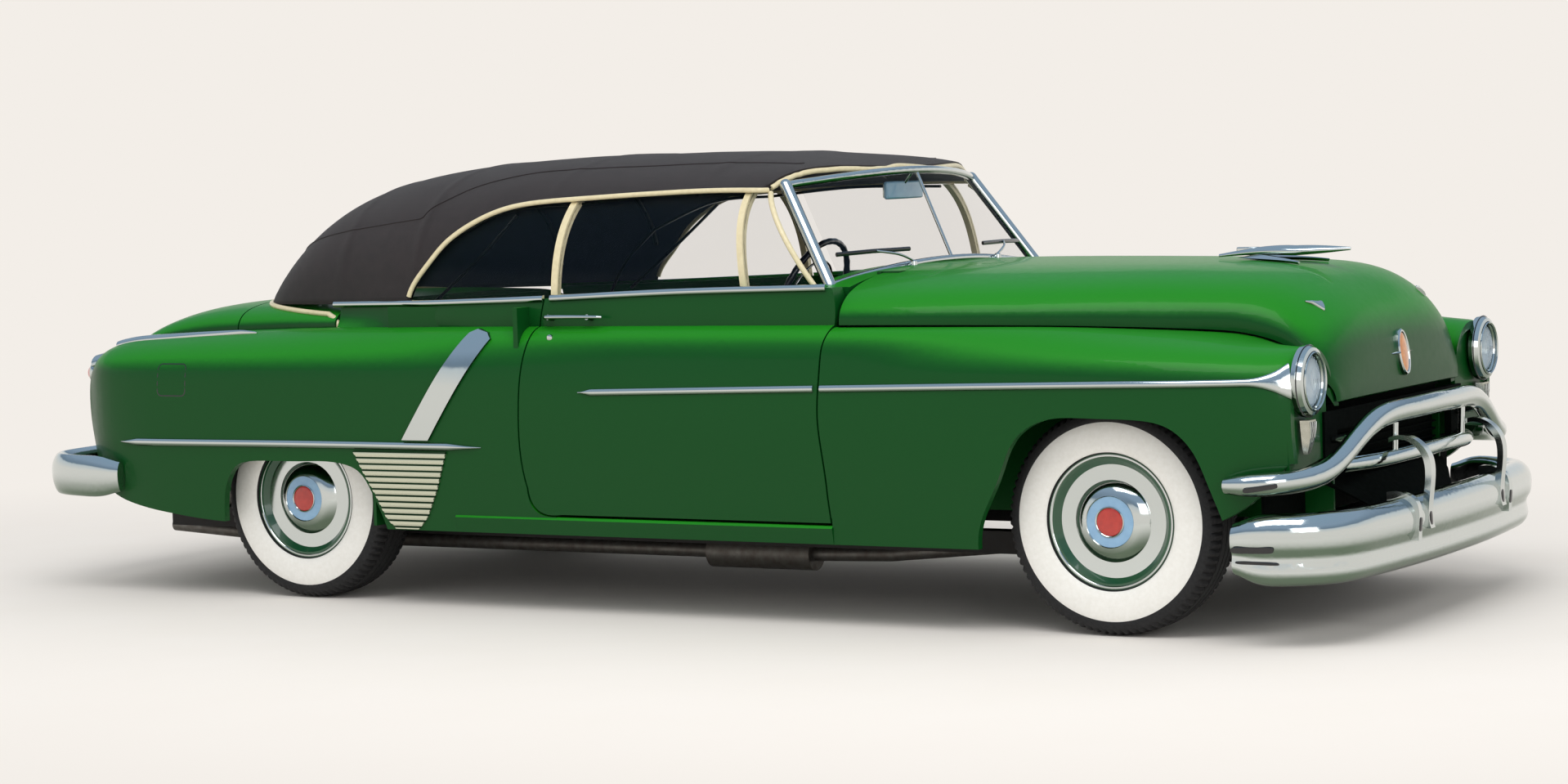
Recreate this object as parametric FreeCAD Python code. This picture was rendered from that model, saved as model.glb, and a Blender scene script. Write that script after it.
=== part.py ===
# Two-door convertible car of the early 1950s with its soft top up, in millimetres.
# X points to the front, Y to the car's left, Z up; the origin is on the ground below the centre.
import FreeCAD, Part
import math
import os

V = FreeCAD.Vector

# Overall layout
WHEELBASE = 3048.0
FRONT_OVERHANG = 826.0
REAR_OVERHANG = 1226.0
LENGTH = FRONT_OVERHANG + WHEELBASE + REAR_OVERHANG
FRONT_X = LENGTH / 2 - FRONT_OVERHANG
REAR_X = FRONT_X - WHEELBASE
NOSE_X = LENGTH / 2
TAIL_X = -LENGTH / 2
HALF_TRACK = 740.0
PANEL_GAP = 6.0
SEAT_GAP = 0.3
TRIM_GAP = 1.5

# Tyres and wheels
TYRE_R = 345.0
TYRE_HALF_WIDTH = 100.0
TREAD_HALF_WIDTH = 72.0
RIM_R = 205.0
RIM_HALF_WIDTH = 82.0
HUB_SEAT = 28.0
AXLE_BALL_R = 120.0
DRUM_R = 150.0
DRUM_WIDTH = 60.0

# Body sheet and structure
HOOD_POWER = 3.6
DECK_POWER = 4.4
STEP = 95.0
FENDER_SHEET = 26.0
QUARTER_SHEET = 32.0
HOOD_SHEET = 22.0
DOOR_INNER_Y = 800.0
FLOOR_Z = 262.0
FLOOR_SHEET = 18.0
RAIL_Z = 190.0
TUNNEL_HALF = 80.0
TUNNEL_Z = 400.0
SEAT_PAN_Z = 470.0
SILL_Z = 262.0
ROCKER_WIDTH = 120.0
FIREWALL_X = 830.0
FIREWALL_SHEET = 16.0
COWL_Z = 1103.0
APRON_Y = 470.0
APRON_SHEET = 12.0

# Lines of one side of the body at stations along X.
# Each row: x, then y and z of valley, crest, shoulder, waist, lower side and sill.
SIDE_LINES = [
    (-2285, 600, 790, 735, 828, 800, 790, 825, 700, 815, 560, 800, 480),
    (-2200, 640, 846, 775, 866, 862, 820, 885, 700, 878, 520, 865, 400),
    (-2100, 652, 878, 790, 886, 898, 828, 925, 700, 918, 500, 905, 345),
    (-1900, 656, 896, 800, 898, 918, 836, 948, 700, 942, 480, 925, 300),
    (-1540, 676, 914, 812, 912, 928, 838, 956, 700, 950, 460, 932, 268),
    (-1000, 760, 930, 842, 921, 932, 840, 958, 700, 952, 450, 932, 262),
    (-400, 850, 936, 888, 920, 935, 840, 958, 700, 952, 450, 932, 262),
    (200, 870, 937, 902, 918, 936, 840, 958, 700, 952, 450, 932, 262),
    (866, 870, 937, 902, 918, 936, 840, 958, 700, 952, 450, 932, 262),
    (1400, 790, 930, 866, 914, 935, 838, 958, 700, 952, 450, 932, 262),
    (1900, 664, 912, 800, 896, 930, 828, 957, 700, 950, 450, 930, 300),
    (2050, 634, 902, 790, 882, 920, 822, 948, 700, 943, 470, 925, 340),
    (2180, 606, 868, 780, 868, 902, 812, 928, 695, 922, 520, 905, 400),
    (2290, 572, 770, 772, 856, 868, 800, 893, 700, 888, 600, 868, 500),
    (2322, 530, 706, 768, 846, 850, 786, 872, 700, 868, 610, 850, 530),
]
# How far the fender's inner edge lies below the hood or lid edge along X.
SEAM_DROP = [(-1740, PANEL_GAP), (-1640, 0.0), (700, 0.0), (790, PANEL_GAP)]
# Belt line above the doors and quarters: x, y, z.
BELT_LINE = [(-1260, 686, 1006), (-1000, 744, 1010), (-805, 790, 1013), (-600, 824, 1018), (-264, 854, 1027), (250, 862, 1045), (864, 864, 1054)]

# Door opening in side view: x and z of its rear and front edges, and its lower edge
DOOR_REAR = [(-264, 1060), (-275, 1000), (-293, 917), (-307, 835), (-315, 700), (-317, 600), (-313, 500), (-298, 415)]
DOOR_FRONT = [(822, 411), (812, 544), (801, 648), (803, 804), (808, 885), (824, 940), (828, 988), (812, 1060)]
DOOR_BOTTOM = 329.0
DOOR_CORNER = 80.0
DOOR_SWING_Y = 960.0
DOOR_SWING_X = 806.0
DOOR_LEAF_X = 836.0

# Wheel openings in side view
FRONT_ARCH = [(1352, 180), (1350, 345), (1416, 473), (1480, 600), (1571, 655), (1724, 664), (1880, 660), (1971, 640), (2052, 563), (2086, 480), (2128, 345), (2150, 180)]
REAR_ARCH = [(-1600, 180), (-1590, 320), (-1574, 390), (-1514, 468), (-1440, 484), (-1250, 486), (-1060, 482), (-988, 456), (-936, 377), (-897, 283), (-870, 180)]

# Hood crown: x and z of the centre line, and the pivot that the front sections turn about
HOOD_LINE = [(840, 1103), (1100, 1103), (1480, 1099), (1763, 1094), (1984, 1084), (2132, 1060), (2209, 1022), (2272, 966), (2311, 905), (2334, 840), (2344, 770), (2348, 692)]
HOOD_PIVOT = (1850.0, 500.0)
HOOD_OPEN_X = 840.0

# Deck crown behind the soft top, in the same form
DECK_LINE = [(-1250, 1012), (-1500, 1020), (-1720, 1018), (-1900, 1006), (-2080, 970), (-2210, 908), (-2300, 830), (-2350, 740), (-2372, 650), (-2380, 560)]
DECK_PIVOT = (-1800.0, 420.0)
LID_FRONT_X = -1720.0

# Soft top: x, crown height, half width at the base, squareness of the section
TOP_LINE = [
    (668, 1412, 800, 4.8), (560, 1440, 815, 4.5), (400, 1464, 830, 3.7), (200, 1480, 842, 3.1),
    (-100, 1488, 846, 2.9), (-500, 1487, 836, 2.9), (-800, 1476, 796, 2.9), (-1000, 1460, 754, 2.9),
    (-1200, 1430, 706, 2.9), (-1350, 1388, 672, 2.9), (-1480, 1320, 640, 2.9), (-1600, 1210, 600, 2.9),
    (-1680, 1090, 550, 2.9), (-1706, 1014, 500, 2.9),
]
TOP_BASE_Z = 900.0
TOP_CLOTH = 14.0
WINDOW_LINE = [(-886, 1000), (-878, 1040), (-800, 1139), (-736, 1207), (-632, 1276), (-522, 1320), (-420, 1337), (-300, 1344), (400, 1360), (486, 1358)]

# Windshield
SHIELD_BASE = [(740, -742, 1052), (770, -420, 1092), (784, 0, 1110)]
SHIELD_TOP = [(530, -642, 1372), (618, -350, 1396), (655, 0, 1408)]
GLASS = 5.0
PILLAR_R = 20.0
DIVIDER_R = 6.0

# Bumpers, grille and lamps
FRONT_BUMPER = [(2168, -932, 292), (2290, -916, 292), (2404, -842, 292), (2462, -640, 292), (2486, -340, 292), (2494, 0, 292)]
# Bar section of the front bumper, in two tiers: outward and upward from the path
FRONT_TIERS = [
    (-22, -104), (20, -100), (37, -66), (33, -24), (44, -2), (50, 28), (47, 62), (24, 94),
    (-14, 101), (-38, 84), (-42, 0), (-38, -84),
]
# Bar section of the rear bumper, in the same form
REAR_TIERS = [(0, -72), (24, -43), (30, 0), (24, 43), (0, 72), (-24, 43), (-30, 0), (-24, -43)]
REAR_BUMPER = [(-2050, -944, 418), (-2250, -936, 418), (-2420, -850, 418), (-2480, -640, 418), (-2508, -340, 418), (TAIL_X + 30, 0, 418)]
GRILLE_BAR = [(2150, -948, 474), (2260, -936, 478), (2350, -850, 486), (2386, -720, 512), (2402, -600, 566), (2418, -450, 624), (2436, -200, 642), (2442, 0, 644)]
GRILLE_TIERS = [(0, -34), (22, -22), (30, 2), (22, 24), (0, 34), (-22, 24), (-28, 0), (-22, -22)]
INNER_BAR = [(2340, -520, 498), (2400, -400, 502), (2426, -200, 506), (2432, 0, 507)]
GUARD_Y = 330.0
PLATE_X = 2480.0
PLATE_Z = 590.0
PLATE_DY = 177.8
PLATE_DZ = 120.65
PLATE_HOLE_R = 3.5
# Guard strap in side view: outer and inner edges, and the short rib beside it
STRAP_OUTER = [(2548, 296), (2550, 430), (2540, 522), (2504, 560), (2420, 565)]
STRAP_INNER = [(2420, 551), (2494, 547), (2522, 514), (2531, 430), (2527, 296)]
STRAP_HALF = 19.0
RIB_OUTER = [(2538, 268), (2541, 330), (2530, 386), (2496, 408), (2440, 410)]
RIB_INNER = [(2440, 380), (2480, 378), (2506, 364), (2514, 330), (2511, 268)]
RIB_SIDE = 84.0
RIB_HALF = 14.0
LAMP_X = 2322.3
LAMP_Y = 768.0
LAMP_Z = 764.0

# Raised trim on the quarter: outlines in side view
SPEAR_OUTLINE = [(-791, 566), (-683, 566), (-452, 900), (-474, 920), (-523, 931), (-548, 920)]
SPEAR_LIFT = 9.0
GUARD_OUTLINE = [(-1000, 526), (-614, 528), (-662, 403), (-713, 308), (-754, 266), (-848, 266), (-884, 300), (-922, 380), (-962, 452)]
GUARD_LIFT = 4.0
RIB_LIFT = 4.0
RIB_PITCH = 21.0
RIB_COUNT = 12
RIB_FIRST_Z = 272.0

# Steering
STEER_Y = 380.0
KINGPIN_Y = 680.0
ARM_LOW_Z = 240.0
ARM_HIGH_Z = 474.0
FRAME_R = 13.0


def interpolate(rows, x, column):
    """Smooth value of a column of a table at x, without overshoot between its rows."""
    xs = [row[0] for row in rows]
    ys = [row[column] for row in rows]
    last = len(xs) - 1
    if x <= xs[0]:
        return ys[0]
    if x >= xs[last]:
        return ys[last]
    slopes = [(ys[k + 1] - ys[k]) / (xs[k + 1] - xs[k]) for k in range(last)]

    def tangent(k):
        if k == 0:
            return slopes[0]
        if k == last:
            return slopes[-1]
        if slopes[k - 1] * slopes[k] <= 0:
            return 0.0
        before = xs[k] - xs[k - 1]
        after = xs[k + 1] - xs[k]
        heavy = 2 * after + before
        light = after + 2 * before
        return (heavy + light) / (heavy / slopes[k - 1] + light / slopes[k])

    k = max(i for i in range(last) if xs[i] <= x)
    step = xs[k + 1] - xs[k]
    t = (x - xs[k]) / step
    return (
        (2 * t**3 - 3 * t * t + 1) * ys[k]
        + (t**3 - 2 * t * t + t) * step * tangent(k)
        + (-2 * t**3 + 3 * t * t) * ys[k + 1]
        + (t**3 - t * t) * step * tangent(k + 1)
    )


def curve(points):
    spline = Part.BSplineCurve()
    spline.interpolate([V(*p) for p in points])
    return spline.toShape()


def polygon(points):
    return Part.makePolygon([V(*p) for p in points + points[:1]])


def loft(wires):
    return Part.makeLoft(wires, True, False)


def box(x0, x1, y0, y1, z0, z1):
    return Part.makeBox(x1 - x0, y1 - y0, z1 - z0, V(x0, y0, z0))


def fuse(shapes):
    whole = shapes[0].multiFuse(shapes[1:])
    return whole.removeSplitter()


def mirrored(shape):
    return shape.mirror(V(0, 0, 0), V(0, 1, 0))


def both_sides(shape):
    return Part.makeCompound([shape, mirrored(shape)])


def side_prism(wire, y0, y1):
    """Solid between two Y planes with a wire drawn in the plane Y = 0 as its outline."""
    face = Part.Face(wire)
    face.translate(V(0, y0, 0))
    return face.extrude(V(0, y1 - y0, 0))


def top_prism(wire, z0, z1):
    face = Part.Face(wire)
    face.translate(V(0, 0, z0))
    return face.extrude(V(0, 0, z1 - z0))


def rod(start, end, radius):
    a = V(*start)
    b = V(*end)
    return Part.makeCylinder(radius, (b - a).Length, a, b - a)


def stations(first, last):
    """Evenly spaced X values of a loft, no more than STEP apart."""
    count = math.ceil((last - first) / STEP)
    return [first + (last - first) * k / count for k in range(count + 1)]


def along_line(line):
    """Evenly spaced points on the smooth curve through the x and z values of a line."""
    edge = curve([(x, 0, z) for x, z in line])
    count = math.ceil(edge.Length / STEP) + 1
    return [(p.x, p.z) for p in edge.discretize(Number=count)]


def side_points(x, inset, first=0):
    points = []
    for k in range(first, 6):
        y = interpolate(SIDE_LINES, x, 1 + 2 * k)
        z = interpolate(SIDE_LINES, x, 2 + 2 * k)
        drop = inset * (1.0, 1.0, 0.55, 0.15, 0.0, 0.0)[k]
        points.append((x, -(y - inset * (0.0, 0.25, 0.85, 1.0, 1.0, 1.0)[k]), z - drop))
    return points


def fender_section(x, sheet):
    """Closed section of the fender sheet, with a flange that runs in under the hood or the trunk lid."""
    outer = side_points(x, 0.0)
    inner = side_points(x, sheet)
    drop = interpolate(SEAM_DROP, x, 1)
    outer[0] = (x, outer[0][1], outer[0][2] - drop)
    inner[0] = (x, inner[0][1], inner[0][2] - drop)
    ledge_out = (x, outer[0][1] + 34, outer[0][2] - 2)
    ledge_in = (x, inner[0][1] + 34, inner[0][2] - 2)
    return Part.Wire([
        curve(outer),
        Part.makeLine(V(*outer[-1]), V(*inner[-1])),
        curve(list(reversed(inner))),
        Part.makeLine(V(*inner[0]), V(*ledge_in)),
        Part.makeLine(V(*ledge_in), V(*ledge_out)),
        Part.makeLine(V(*ledge_out), V(*outer[0])),
    ])


def waisted_section(x, inner_y, bottom=None):
    """Closed section of a door or quarter wall: belt, cove, shoulder, side, and a flat inner face."""
    belt_y = -interpolate(BELT_LINE, x, 1)
    belt_z = interpolate(BELT_LINE, x, 2)
    lower = side_points(x, 0.0)
    valley = lower[0]
    cove = [(x, belt_y, belt_z), (x, belt_y - 6, 0.5 * (belt_z + valley[2])), valley]
    return Part.Wire([
        curve(cove),
        curve(lower),
        Part.makeLine(V(*lower[-1]), V(x, -inner_y, lower[-1][2])),
        Part.makeLine(V(x, -inner_y, lower[-1][2]), V(x, -inner_y, belt_z)),
        Part.makeLine(V(x, -inner_y, belt_z), V(x, belt_y, belt_z)),
    ])


def crown_section(pivot, x, z, sheet, power, grow=0.0):
    """Closed arch between the two valleys, in a plane that holds Y and points to the pivot."""
    dx = pivot[0] - x
    dz = pivot[1] - z
    ahead = (x - pivot[0]) * math.copysign(1, pivot[0])
    if ahead <= 0:
        dx = 0.0
        dz = -1.0
    size = math.hypot(dx, dz)
    dx /= size
    dz /= size
    depth = 10.0
    for _ in range(60):
        sx = x + dx * depth
        sz = z + dz * depth
        depth += (sz - interpolate(SIDE_LINES, sx, 2)) * 0.5
        depth = max(depth, 20.0)
    sx = x + dx * depth
    half = interpolate(SIDE_LINES, sx, 1)
    p = power
    q = 0.68 * power

    def arch(width, deep, start):
        points = []
        for angle in (90, 78, 65, 50, 36, 24, 14, 6, 0, -6, -14, -24, -36, -50, -65, -78, -90):
            a = abs(math.radians(angle))
            y = width * math.sin(a) ** (2 / p)
            down = start + (deep - start) * (1 - max(math.cos(a), 0.0) ** (2 / q))
            side = -1 if angle > 0 else 1
            points.append((x + dx * down, side * y, z + dz * down))
        return points

    outer = arch(half + grow, depth + 1.6 * grow, -grow)
    if sheet is None:
        return Part.Wire([curve(outer), Part.makeLine(V(*outer[-1]), V(*outer[0]))])
    inner = arch(half - sheet, depth, sheet)
    return Part.Wire([
        curve(outer),
        Part.makeLine(V(*outer[-1]), V(*inner[-1])),
        curve(list(reversed(inner))),
        Part.makeLine(V(*inner[0]), V(*outer[0])),
    ])


def door_outline(gap):
    """Side view outline of the door, grown outward by gap; the lower rear corner is rounded."""
    rear = [(x - gap, z) for x, z in DOOR_REAR]
    front = [(x + gap, z) for x, z in DOOR_FRONT]
    corner = [(rear[-1][0], 0, rear[-1][1]), (rear[-1][0] + 20, 0, DOOR_BOTTOM + 24 - gap), (rear[-1][0] + DOOR_CORNER + 40, 0, DOOR_BOTTOM - gap)]
    top = 1100.0
    return Part.Wire([
        curve([(x, 0, z) for x, z in rear]),
        curve(corner),
        Part.makeLine(V(*corner[-1]), V(front[0][0] + 6, 0, DOOR_BOTTOM - gap)),
        Part.makeLine(V(front[0][0] + 6, 0, DOOR_BOTTOM - gap), V(front[0][0], 0, front[0][1])),
        curve([(x, 0, z) for x, z in front]),
        Part.makeLine(V(front[-1][0], 0, front[-1][1]), V(front[-1][0], 0, top)),
        Part.makeLine(V(front[-1][0], 0, top), V(rear[0][0], 0, top)),
        Part.makeLine(V(rear[0][0], 0, top), V(rear[0][0], 0, rear[0][1])),
    ])


def arch_prism(points, y0, y1):
    spline = curve([(x, 0, z) for x, z in points])
    a = V(points[0][0], 0, points[0][1])
    b = V(points[-1][0], 0, points[-1][1])
    return side_prism(Part.Wire([spline, Part.makeLine(b, a)]), y0, y1)


def cowl_section(x, sheet, lift=0.0):
    half = min(786.0, 744.0 + 0.6 * (x - 700.0))
    rows = [half * k / 4 for k in range(-4, 5)]
    outer = [(x, y, COWL_Z + lift - 52 * (abs(y) / 786.0) ** 3.2) for y in rows]
    inner = [(a, b, c - lift - sheet) for a, b, c in outer]
    return Part.Wire([
        curve(outer),
        Part.makeLine(V(*outer[-1]), V(*inner[-1])),
        curve(list(reversed(inner))),
        Part.makeLine(V(*inner[0]), V(*outer[0])),
    ])


def quarter_section(x):
    belt_y = -interpolate(BELT_LINE, x, 1)
    belt_z = interpolate(BELT_LINE, x, 2)
    outer = side_points(x, 0.0)
    inner = side_points(x, QUARTER_SHEET)
    valley = outer[0]
    cove = [(x, belt_y, belt_z), (x, belt_y - 6, 0.5 * (belt_z + valley[2])), valley]
    inner[0] = (x, valley[1] + QUARTER_SHEET, inner[0][2])
    top = (x, belt_y + QUARTER_SHEET, belt_z)
    return Part.Wire([
        curve(cove),
        curve(outer),
        Part.makeLine(V(*outer[-1]), V(*inner[-1])),
        curve(list(reversed(inner))),
        Part.makeLine(V(*inner[0]), V(*top)),
        Part.makeLine(V(*top), V(*cove[0])),
    ])


def rocker_section(x):
    """Closed box section along the sill below the door."""
    lower = [p for p in side_points(x, 0.0) if p[2] < 600]
    y_out = lower[-1][1]
    z_out = lower[-1][2]
    return polygon([(x, y_out - 1, z_out), (x, y_out - 12, z_out + 50), (x, y_out - 4, z_out + 58), (x, y_out + ROCKER_WIDTH, z_out + 58), (x, y_out + ROCKER_WIDTH, z_out)])


def full_width(half_line):
    left = [(x, -y, z) for x, y, z in half_line[:-1]]
    return half_line + list(reversed(left))


def tube(points, radius):
    """Round bar along a smooth curve."""
    spine = curve(points) if len(points) > 2 else Part.makeLine(V(*points[0]), V(*points[1]))
    start = V(*points[0])
    direction = spine.tangentAt(spine.FirstParameter)
    ring = Part.Wire(Part.makeCircle(radius, start, direction))
    return Part.Wire(spine).makePipeShell([ring], True, True)


def ball(point, radius):
    return Part.makeSphere(radius, V(*point))


nodes = {}

# Front fenders
FENDER_REAR = DOOR_FRONT
fender = loft([fender_section(x, FENDER_SHEET) for x in stations(796, 2322)])
fender = fender.cut(side_prism(door_outline(PANEL_GAP), -1000, -500))
fender = fender.cut(arch_prism(FRONT_ARCH, -1000, -600))
plate = Part.Face(Part.Wire([
    curve([(2296, p[1], p[2]) for p in side_points(2290, 12)]),
    Part.makeLine(V(2296, *side_points(2290, 12)[-1][1:]), V(2296, -560, 530)),
    Part.makeLine(V(2296, -560, 530), V(2296, *side_points(2290, 12)[0][1:])),
])).extrude(V(14, 0, 0))
fender = fender.cut(box(790, 834 + SEAT_GAP, -1000, -700, 200, 345))
fender = fuse([fender, plate])
hood_points = along_line(HOOD_LINE)
hood_clear = loft([crown_section(HOOD_PIVOT, x, z, None, HOOD_POWER, PANEL_GAP) for x, z in hood_points])
fender = fender.cut(hood_clear)
fender = fender.cut(box(2306, 2330, -556, -500, 728, 790))
nodes["front_fender_right"] = fender
nodes["front_fender_left"] = mirrored(fender)

# Doors
door = loft([waisted_section(x, DOOR_INNER_Y) for x in stations(-330, 885)])
door = door.common(side_prism(door_outline(0.0), -1000, -700))
leaves = [box(800, DOOR_LEAF_X, -830, -DOOR_INNER_Y - 1, z, z + 60) for z in (430, 780)]
door = fuse([door] + leaves)
nodes["door_right"] = door
nodes["door_left"] = mirrored(door)


# Hood and cowl
hood = loft([crown_section(HOOD_PIVOT, x, z, HOOD_SHEET, HOOD_POWER) for x, z in hood_points])
hood_leaves = [box(HOOD_OPEN_X, HOOD_OPEN_X + 60, y - 24, y + 24, 1044, 1092) for y in (-560, 560)]
nodes["hood"] = fuse([hood] + hood_leaves)

cowl_xs = (700, 740, 770, 800, HOOD_OPEN_X - PANEL_GAP)
cowl_top = loft([cowl_section(x, HOOD_SHEET) for x in cowl_xs])
firewall = box(FIREWALL_X - FIREWALL_SHEET, FIREWALL_X, -780, 780, FLOOR_Z, 1040)
firewall = firewall.cut(box(FIREWALL_X - 30, FIREWALL_X + 30, -TUNNEL_HALF, TUNNEL_HALF, FLOOR_Z - 5, TUNNEL_Z))
apron = box(FIREWALL_X - 5, 2290, -APRON_Y, -APRON_Y + APRON_SHEET, 330, 640)
kick = fuse([
    box(640, FIREWALL_X, -785, -765, FLOOR_Z + FLOOR_SHEET + SEAT_GAP, 1040),
    box(640, 872, -785, -765, FLOOR_Z + FLOOR_SHEET + SEAT_GAP, 880),
])
hinge_post = box(DOOR_LEAF_X + SEAT_GAP, 872, -832, -765, SILL_Z + 20, 880)
sill_bridge = box(640, 834, -820, -765, FLOOR_Z, FLOOR_Z + 40)
hood_pads = [box(HOOD_OPEN_X - 16, HOOD_OPEN_X - SEAT_GAP, y - 30, y + 30, 1036, 1092) for y in (-560, 560)]
lid_pads = [box(LID_FRONT_X - 3, LID_FRONT_X + 20, y - 30, y + 30, 950, 992) for y in (-420, 420)]

# Body shell: cowl, quarters, deck, rockers and rear panel in one
quarter = loft([quarter_section(x) for x in stations(-1240, -200)])
quarter = quarter.cut(side_prism(door_outline(PANEL_GAP), -1000, -500))
quarter = quarter.cut(arch_prism(REAR_ARCH, -1000, -600))
tail = loft([fender_section(x, FENDER_SHEET) for x in stations(-2285, -1240)])
tail = tail.cut(arch_prism(REAR_ARCH, -1000, -600))
tail_cap = loft([
    Part.Wire([
        curve([(x, p[1], p[2]) for p in side_points(x, 14)]),
        Part.makeLine(V(x, *side_points(x, 14)[-1][1:]), V(x, -610, 470)),
        Part.makeLine(V(x, -610, 470), V(x, *side_points(x, 14)[0][1:])),
    ])
    for x in (-2284, -2262)
])
rocker = loft([rocker_section(x) for x in stations(-600, 834)])
deck_points = along_line([q for q in DECK_LINE if q[0] >= LID_FRONT_X])
deck = loft([crown_section(DECK_PIVOT, x, z, HOOD_SHEET, DECK_POWER) for x, z in deck_points])
pillar = box(-352, -334, -925, -794, SILL_Z + 40, 1000)
inner_wall = box(-950, -334, -806, -794, SILL_Z + 10, 1000)
wheel_house = box(-1700, -940, -612, -600, 400, 880)
wheel_front = box(-952, -940, -925, -600, SILL_Z + 10, 732)
wheel_roof = box(-1700, -940, -925, -600, 720, 732)
bulkhead = box(-1240, -1228, -600, 600, SEAT_PAN_Z, 996)
seat_pan = box(-1240, -1000, -605, 605, SEAT_PAN_Z, SEAT_PAN_Z + 12)
seat_riser = box(-1012, -1000, -605, 605, FLOOR_Z, SEAT_PAN_Z + 12)
seat_riser = seat_riser.cut(box(-1100, -900, -TUNNEL_HALF, TUNNEL_HALF, 200, TUNNEL_Z))
tail_panel = box(-2290, -2272, -640, 640, 340, 540)
trunk_floor = fuse([box(-2290, -1560, -640, 640, 340, 352), box(-1572, -1560, -640, 640, 340, 512), box(-1572, -1228, -605, 605, 500, 512)])
tail_side = box(-2290, -1690, -640, -612, 340, 860)
body = fuse([cowl_top, firewall] + hood_pads)
for half in (
    kick, hinge_post, apron, sill_bridge, rocker, pillar, inner_wall, quarter, wheel_front,
    wheel_roof, wheel_house, tail, tail_cap, tail_side,
):
    body = fuse([body, half, mirrored(half)])
for piece in (deck, bulkhead, seat_pan, seat_riser, tail_panel, trunk_floor):
    body = fuse([body, piece])
body = fuse([body] + lid_pads)
lid_line = [(LID_FRONT_X - PANEL_GAP, 1018)] + [q for q in DECK_LINE if q[0] < LID_FRONT_X]
lid_points = along_line(lid_line)
lid_clear = loft([crown_section(DECK_PIVOT, x, z, None, DECK_POWER, PANEL_GAP) for x, z in lid_points])
body = body.cut(lid_clear)
nodes["body_shell"] = body

# Trunk lid
lid = loft([crown_section(DECK_PIVOT, x, z, HOOD_SHEET, DECK_POWER) for x, z in lid_points])
lid_leaves = [box(LID_FRONT_X - 60, LID_FRONT_X - 3 - SEAT_GAP, y - 24, y + 24, 955, 996) for y in (-420, 420)]
nodes["trunk_lid"] = fuse([lid] + lid_leaves)

# Soft top and its glass
def dome_section(x, inset, sheet):
    crown = interpolate(sorted(TOP_LINE), x, 1) - TOP_BASE_Z
    half = interpolate(sorted(TOP_LINE), x, 2)
    power = interpolate(sorted(TOP_LINE), x, 3)

    def arch(cut):
        points = []
        for angle in (90, 80, 68, 56, 45, 34, 23, 12, 4, 0, -4, -12, -23, -34, -45, -56, -68, -80, -90):
            a = abs(math.radians(angle))
            y = (half - cut) * math.sin(a) ** (2 / power)
            z = (crown - cut) * max(math.cos(a), 0.0) ** (2 / power)
            points.append((x, y if angle < 0 else -y, TOP_BASE_Z + z))
        return points

    outer = arch(inset)
    inner = arch(inset + sheet)
    return Part.Wire([
        curve(outer),
        Part.makeLine(V(*outer[-1]), V(*inner[-1])),
        curve(list(reversed(inner))),
        Part.makeLine(V(*inner[0]), V(*outer[0])),
    ])


def dome(first, last, inset, sheet):
    return loft([dome_section(x, inset, sheet) for x in stations(first, last)])


def window_prism(shrink, first, last):
    """Side view opening of the windows between two X values, drawn in by shrink."""
    top = [(x, z - shrink) for x, z in WINDOW_LINE]
    edge = curve([(x, 0, z) for x, z in top])
    a = V(top[0][0], 0, 950)
    b = V(top[0][0], 0, top[0][1])
    c = V(top[-1][0], 0, top[-1][1])
    d = V(760, 0, c.z)
    e = V(760, 0, 950)
    wire = Part.Wire([Part.makeLine(a, b), edge, Part.makeLine(c, d), Part.makeLine(d, e), Part.makeLine(e, a)])
    prism = side_prism(wire, -900, -560)
    return prism.common(box(first, last, -900, -560, 900, 1500))


belt_profile = [(x, z) for x, y, z in BELT_LINE]
below_belt = side_prism(polygon([(-1900, 0, 800)] + [(-1900, 0, 1004)] + [(x, 0, z + SEAT_GAP) for x, z in belt_profile] + [(1000, 0, 1054)] + [(1000, 0, 800)]), -950, 950)
deck_block = loft([crown_section(DECK_PIVOT, x, z + SEAT_GAP, None, DECK_POWER) for x, z in along_line([q for q in DECK_LINE if q[0] >= -1900])])
header_curve = [(420, -860), (500, -660), (595, -360), (636, 0), (595, 360), (500, 660), (420, 860)]
ahead = top_prism(Part.Wire([
    curve([(x, y, 0) for x, y in header_curve]),
    Part.makeLine(V(420, 860, 0), V(900, 860, 0)),
    Part.makeLine(V(900, 860, 0), V(900, -860, 0)),
    Part.makeLine(V(900, -860, 0), V(420, -860, 0)),
]), 850, 1600)
windows = window_prism(0.0, -1000, 760)
top_shell = dome(-1706, 668, 0.0, TOP_CLOTH).cut(ahead).cut(deck_block).cut(below_belt)
top_shell = top_shell.cut(windows).cut(mirrored(windows))
nodes["soft_top"] = top_shell

rear_cut = box(-1760, -1250, -330, 330, 1120, 1300)
nodes["soft_top"] = top_shell.cut(rear_cut)
rear_glass = dome(-1690, -1250, TOP_CLOTH + 2.5, 4.0)
nodes["rear_window"] = rear_glass.common(box(-1760, -1252, -345, 345, 1105, 1315))

glass_shell = dome(-960, 760, 16.0, GLASS)
above_belt = side_prism(polygon([(-1000, 0, 1009 + SEAT_GAP)] + [(x, 0, z + SEAT_GAP) for x, z in belt_profile[1:]] + [(900, 0, 1054 + SEAT_GAP), (900, 0, 1450), (-1000, 0, 1450)]), -900, 900)
quarter_pane = glass_shell.common(window_prism(-5.0, -880, -276)).common(above_belt)
nodes["quarter_glass"] = both_sides(quarter_pane)
behind_pillar = side_prism(polygon([(-1000, 0, 900), (710, 0, 900), (706, 0, 1050), (654, 0, 1125), (504, 0, 1346), (490, 0, 1400), (-1000, 0, 1400)]), -900, -560)
door_pane = glass_shell.common(window_prism(7.0, -262, 700)).common(above_belt).common(behind_pillar)


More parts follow.
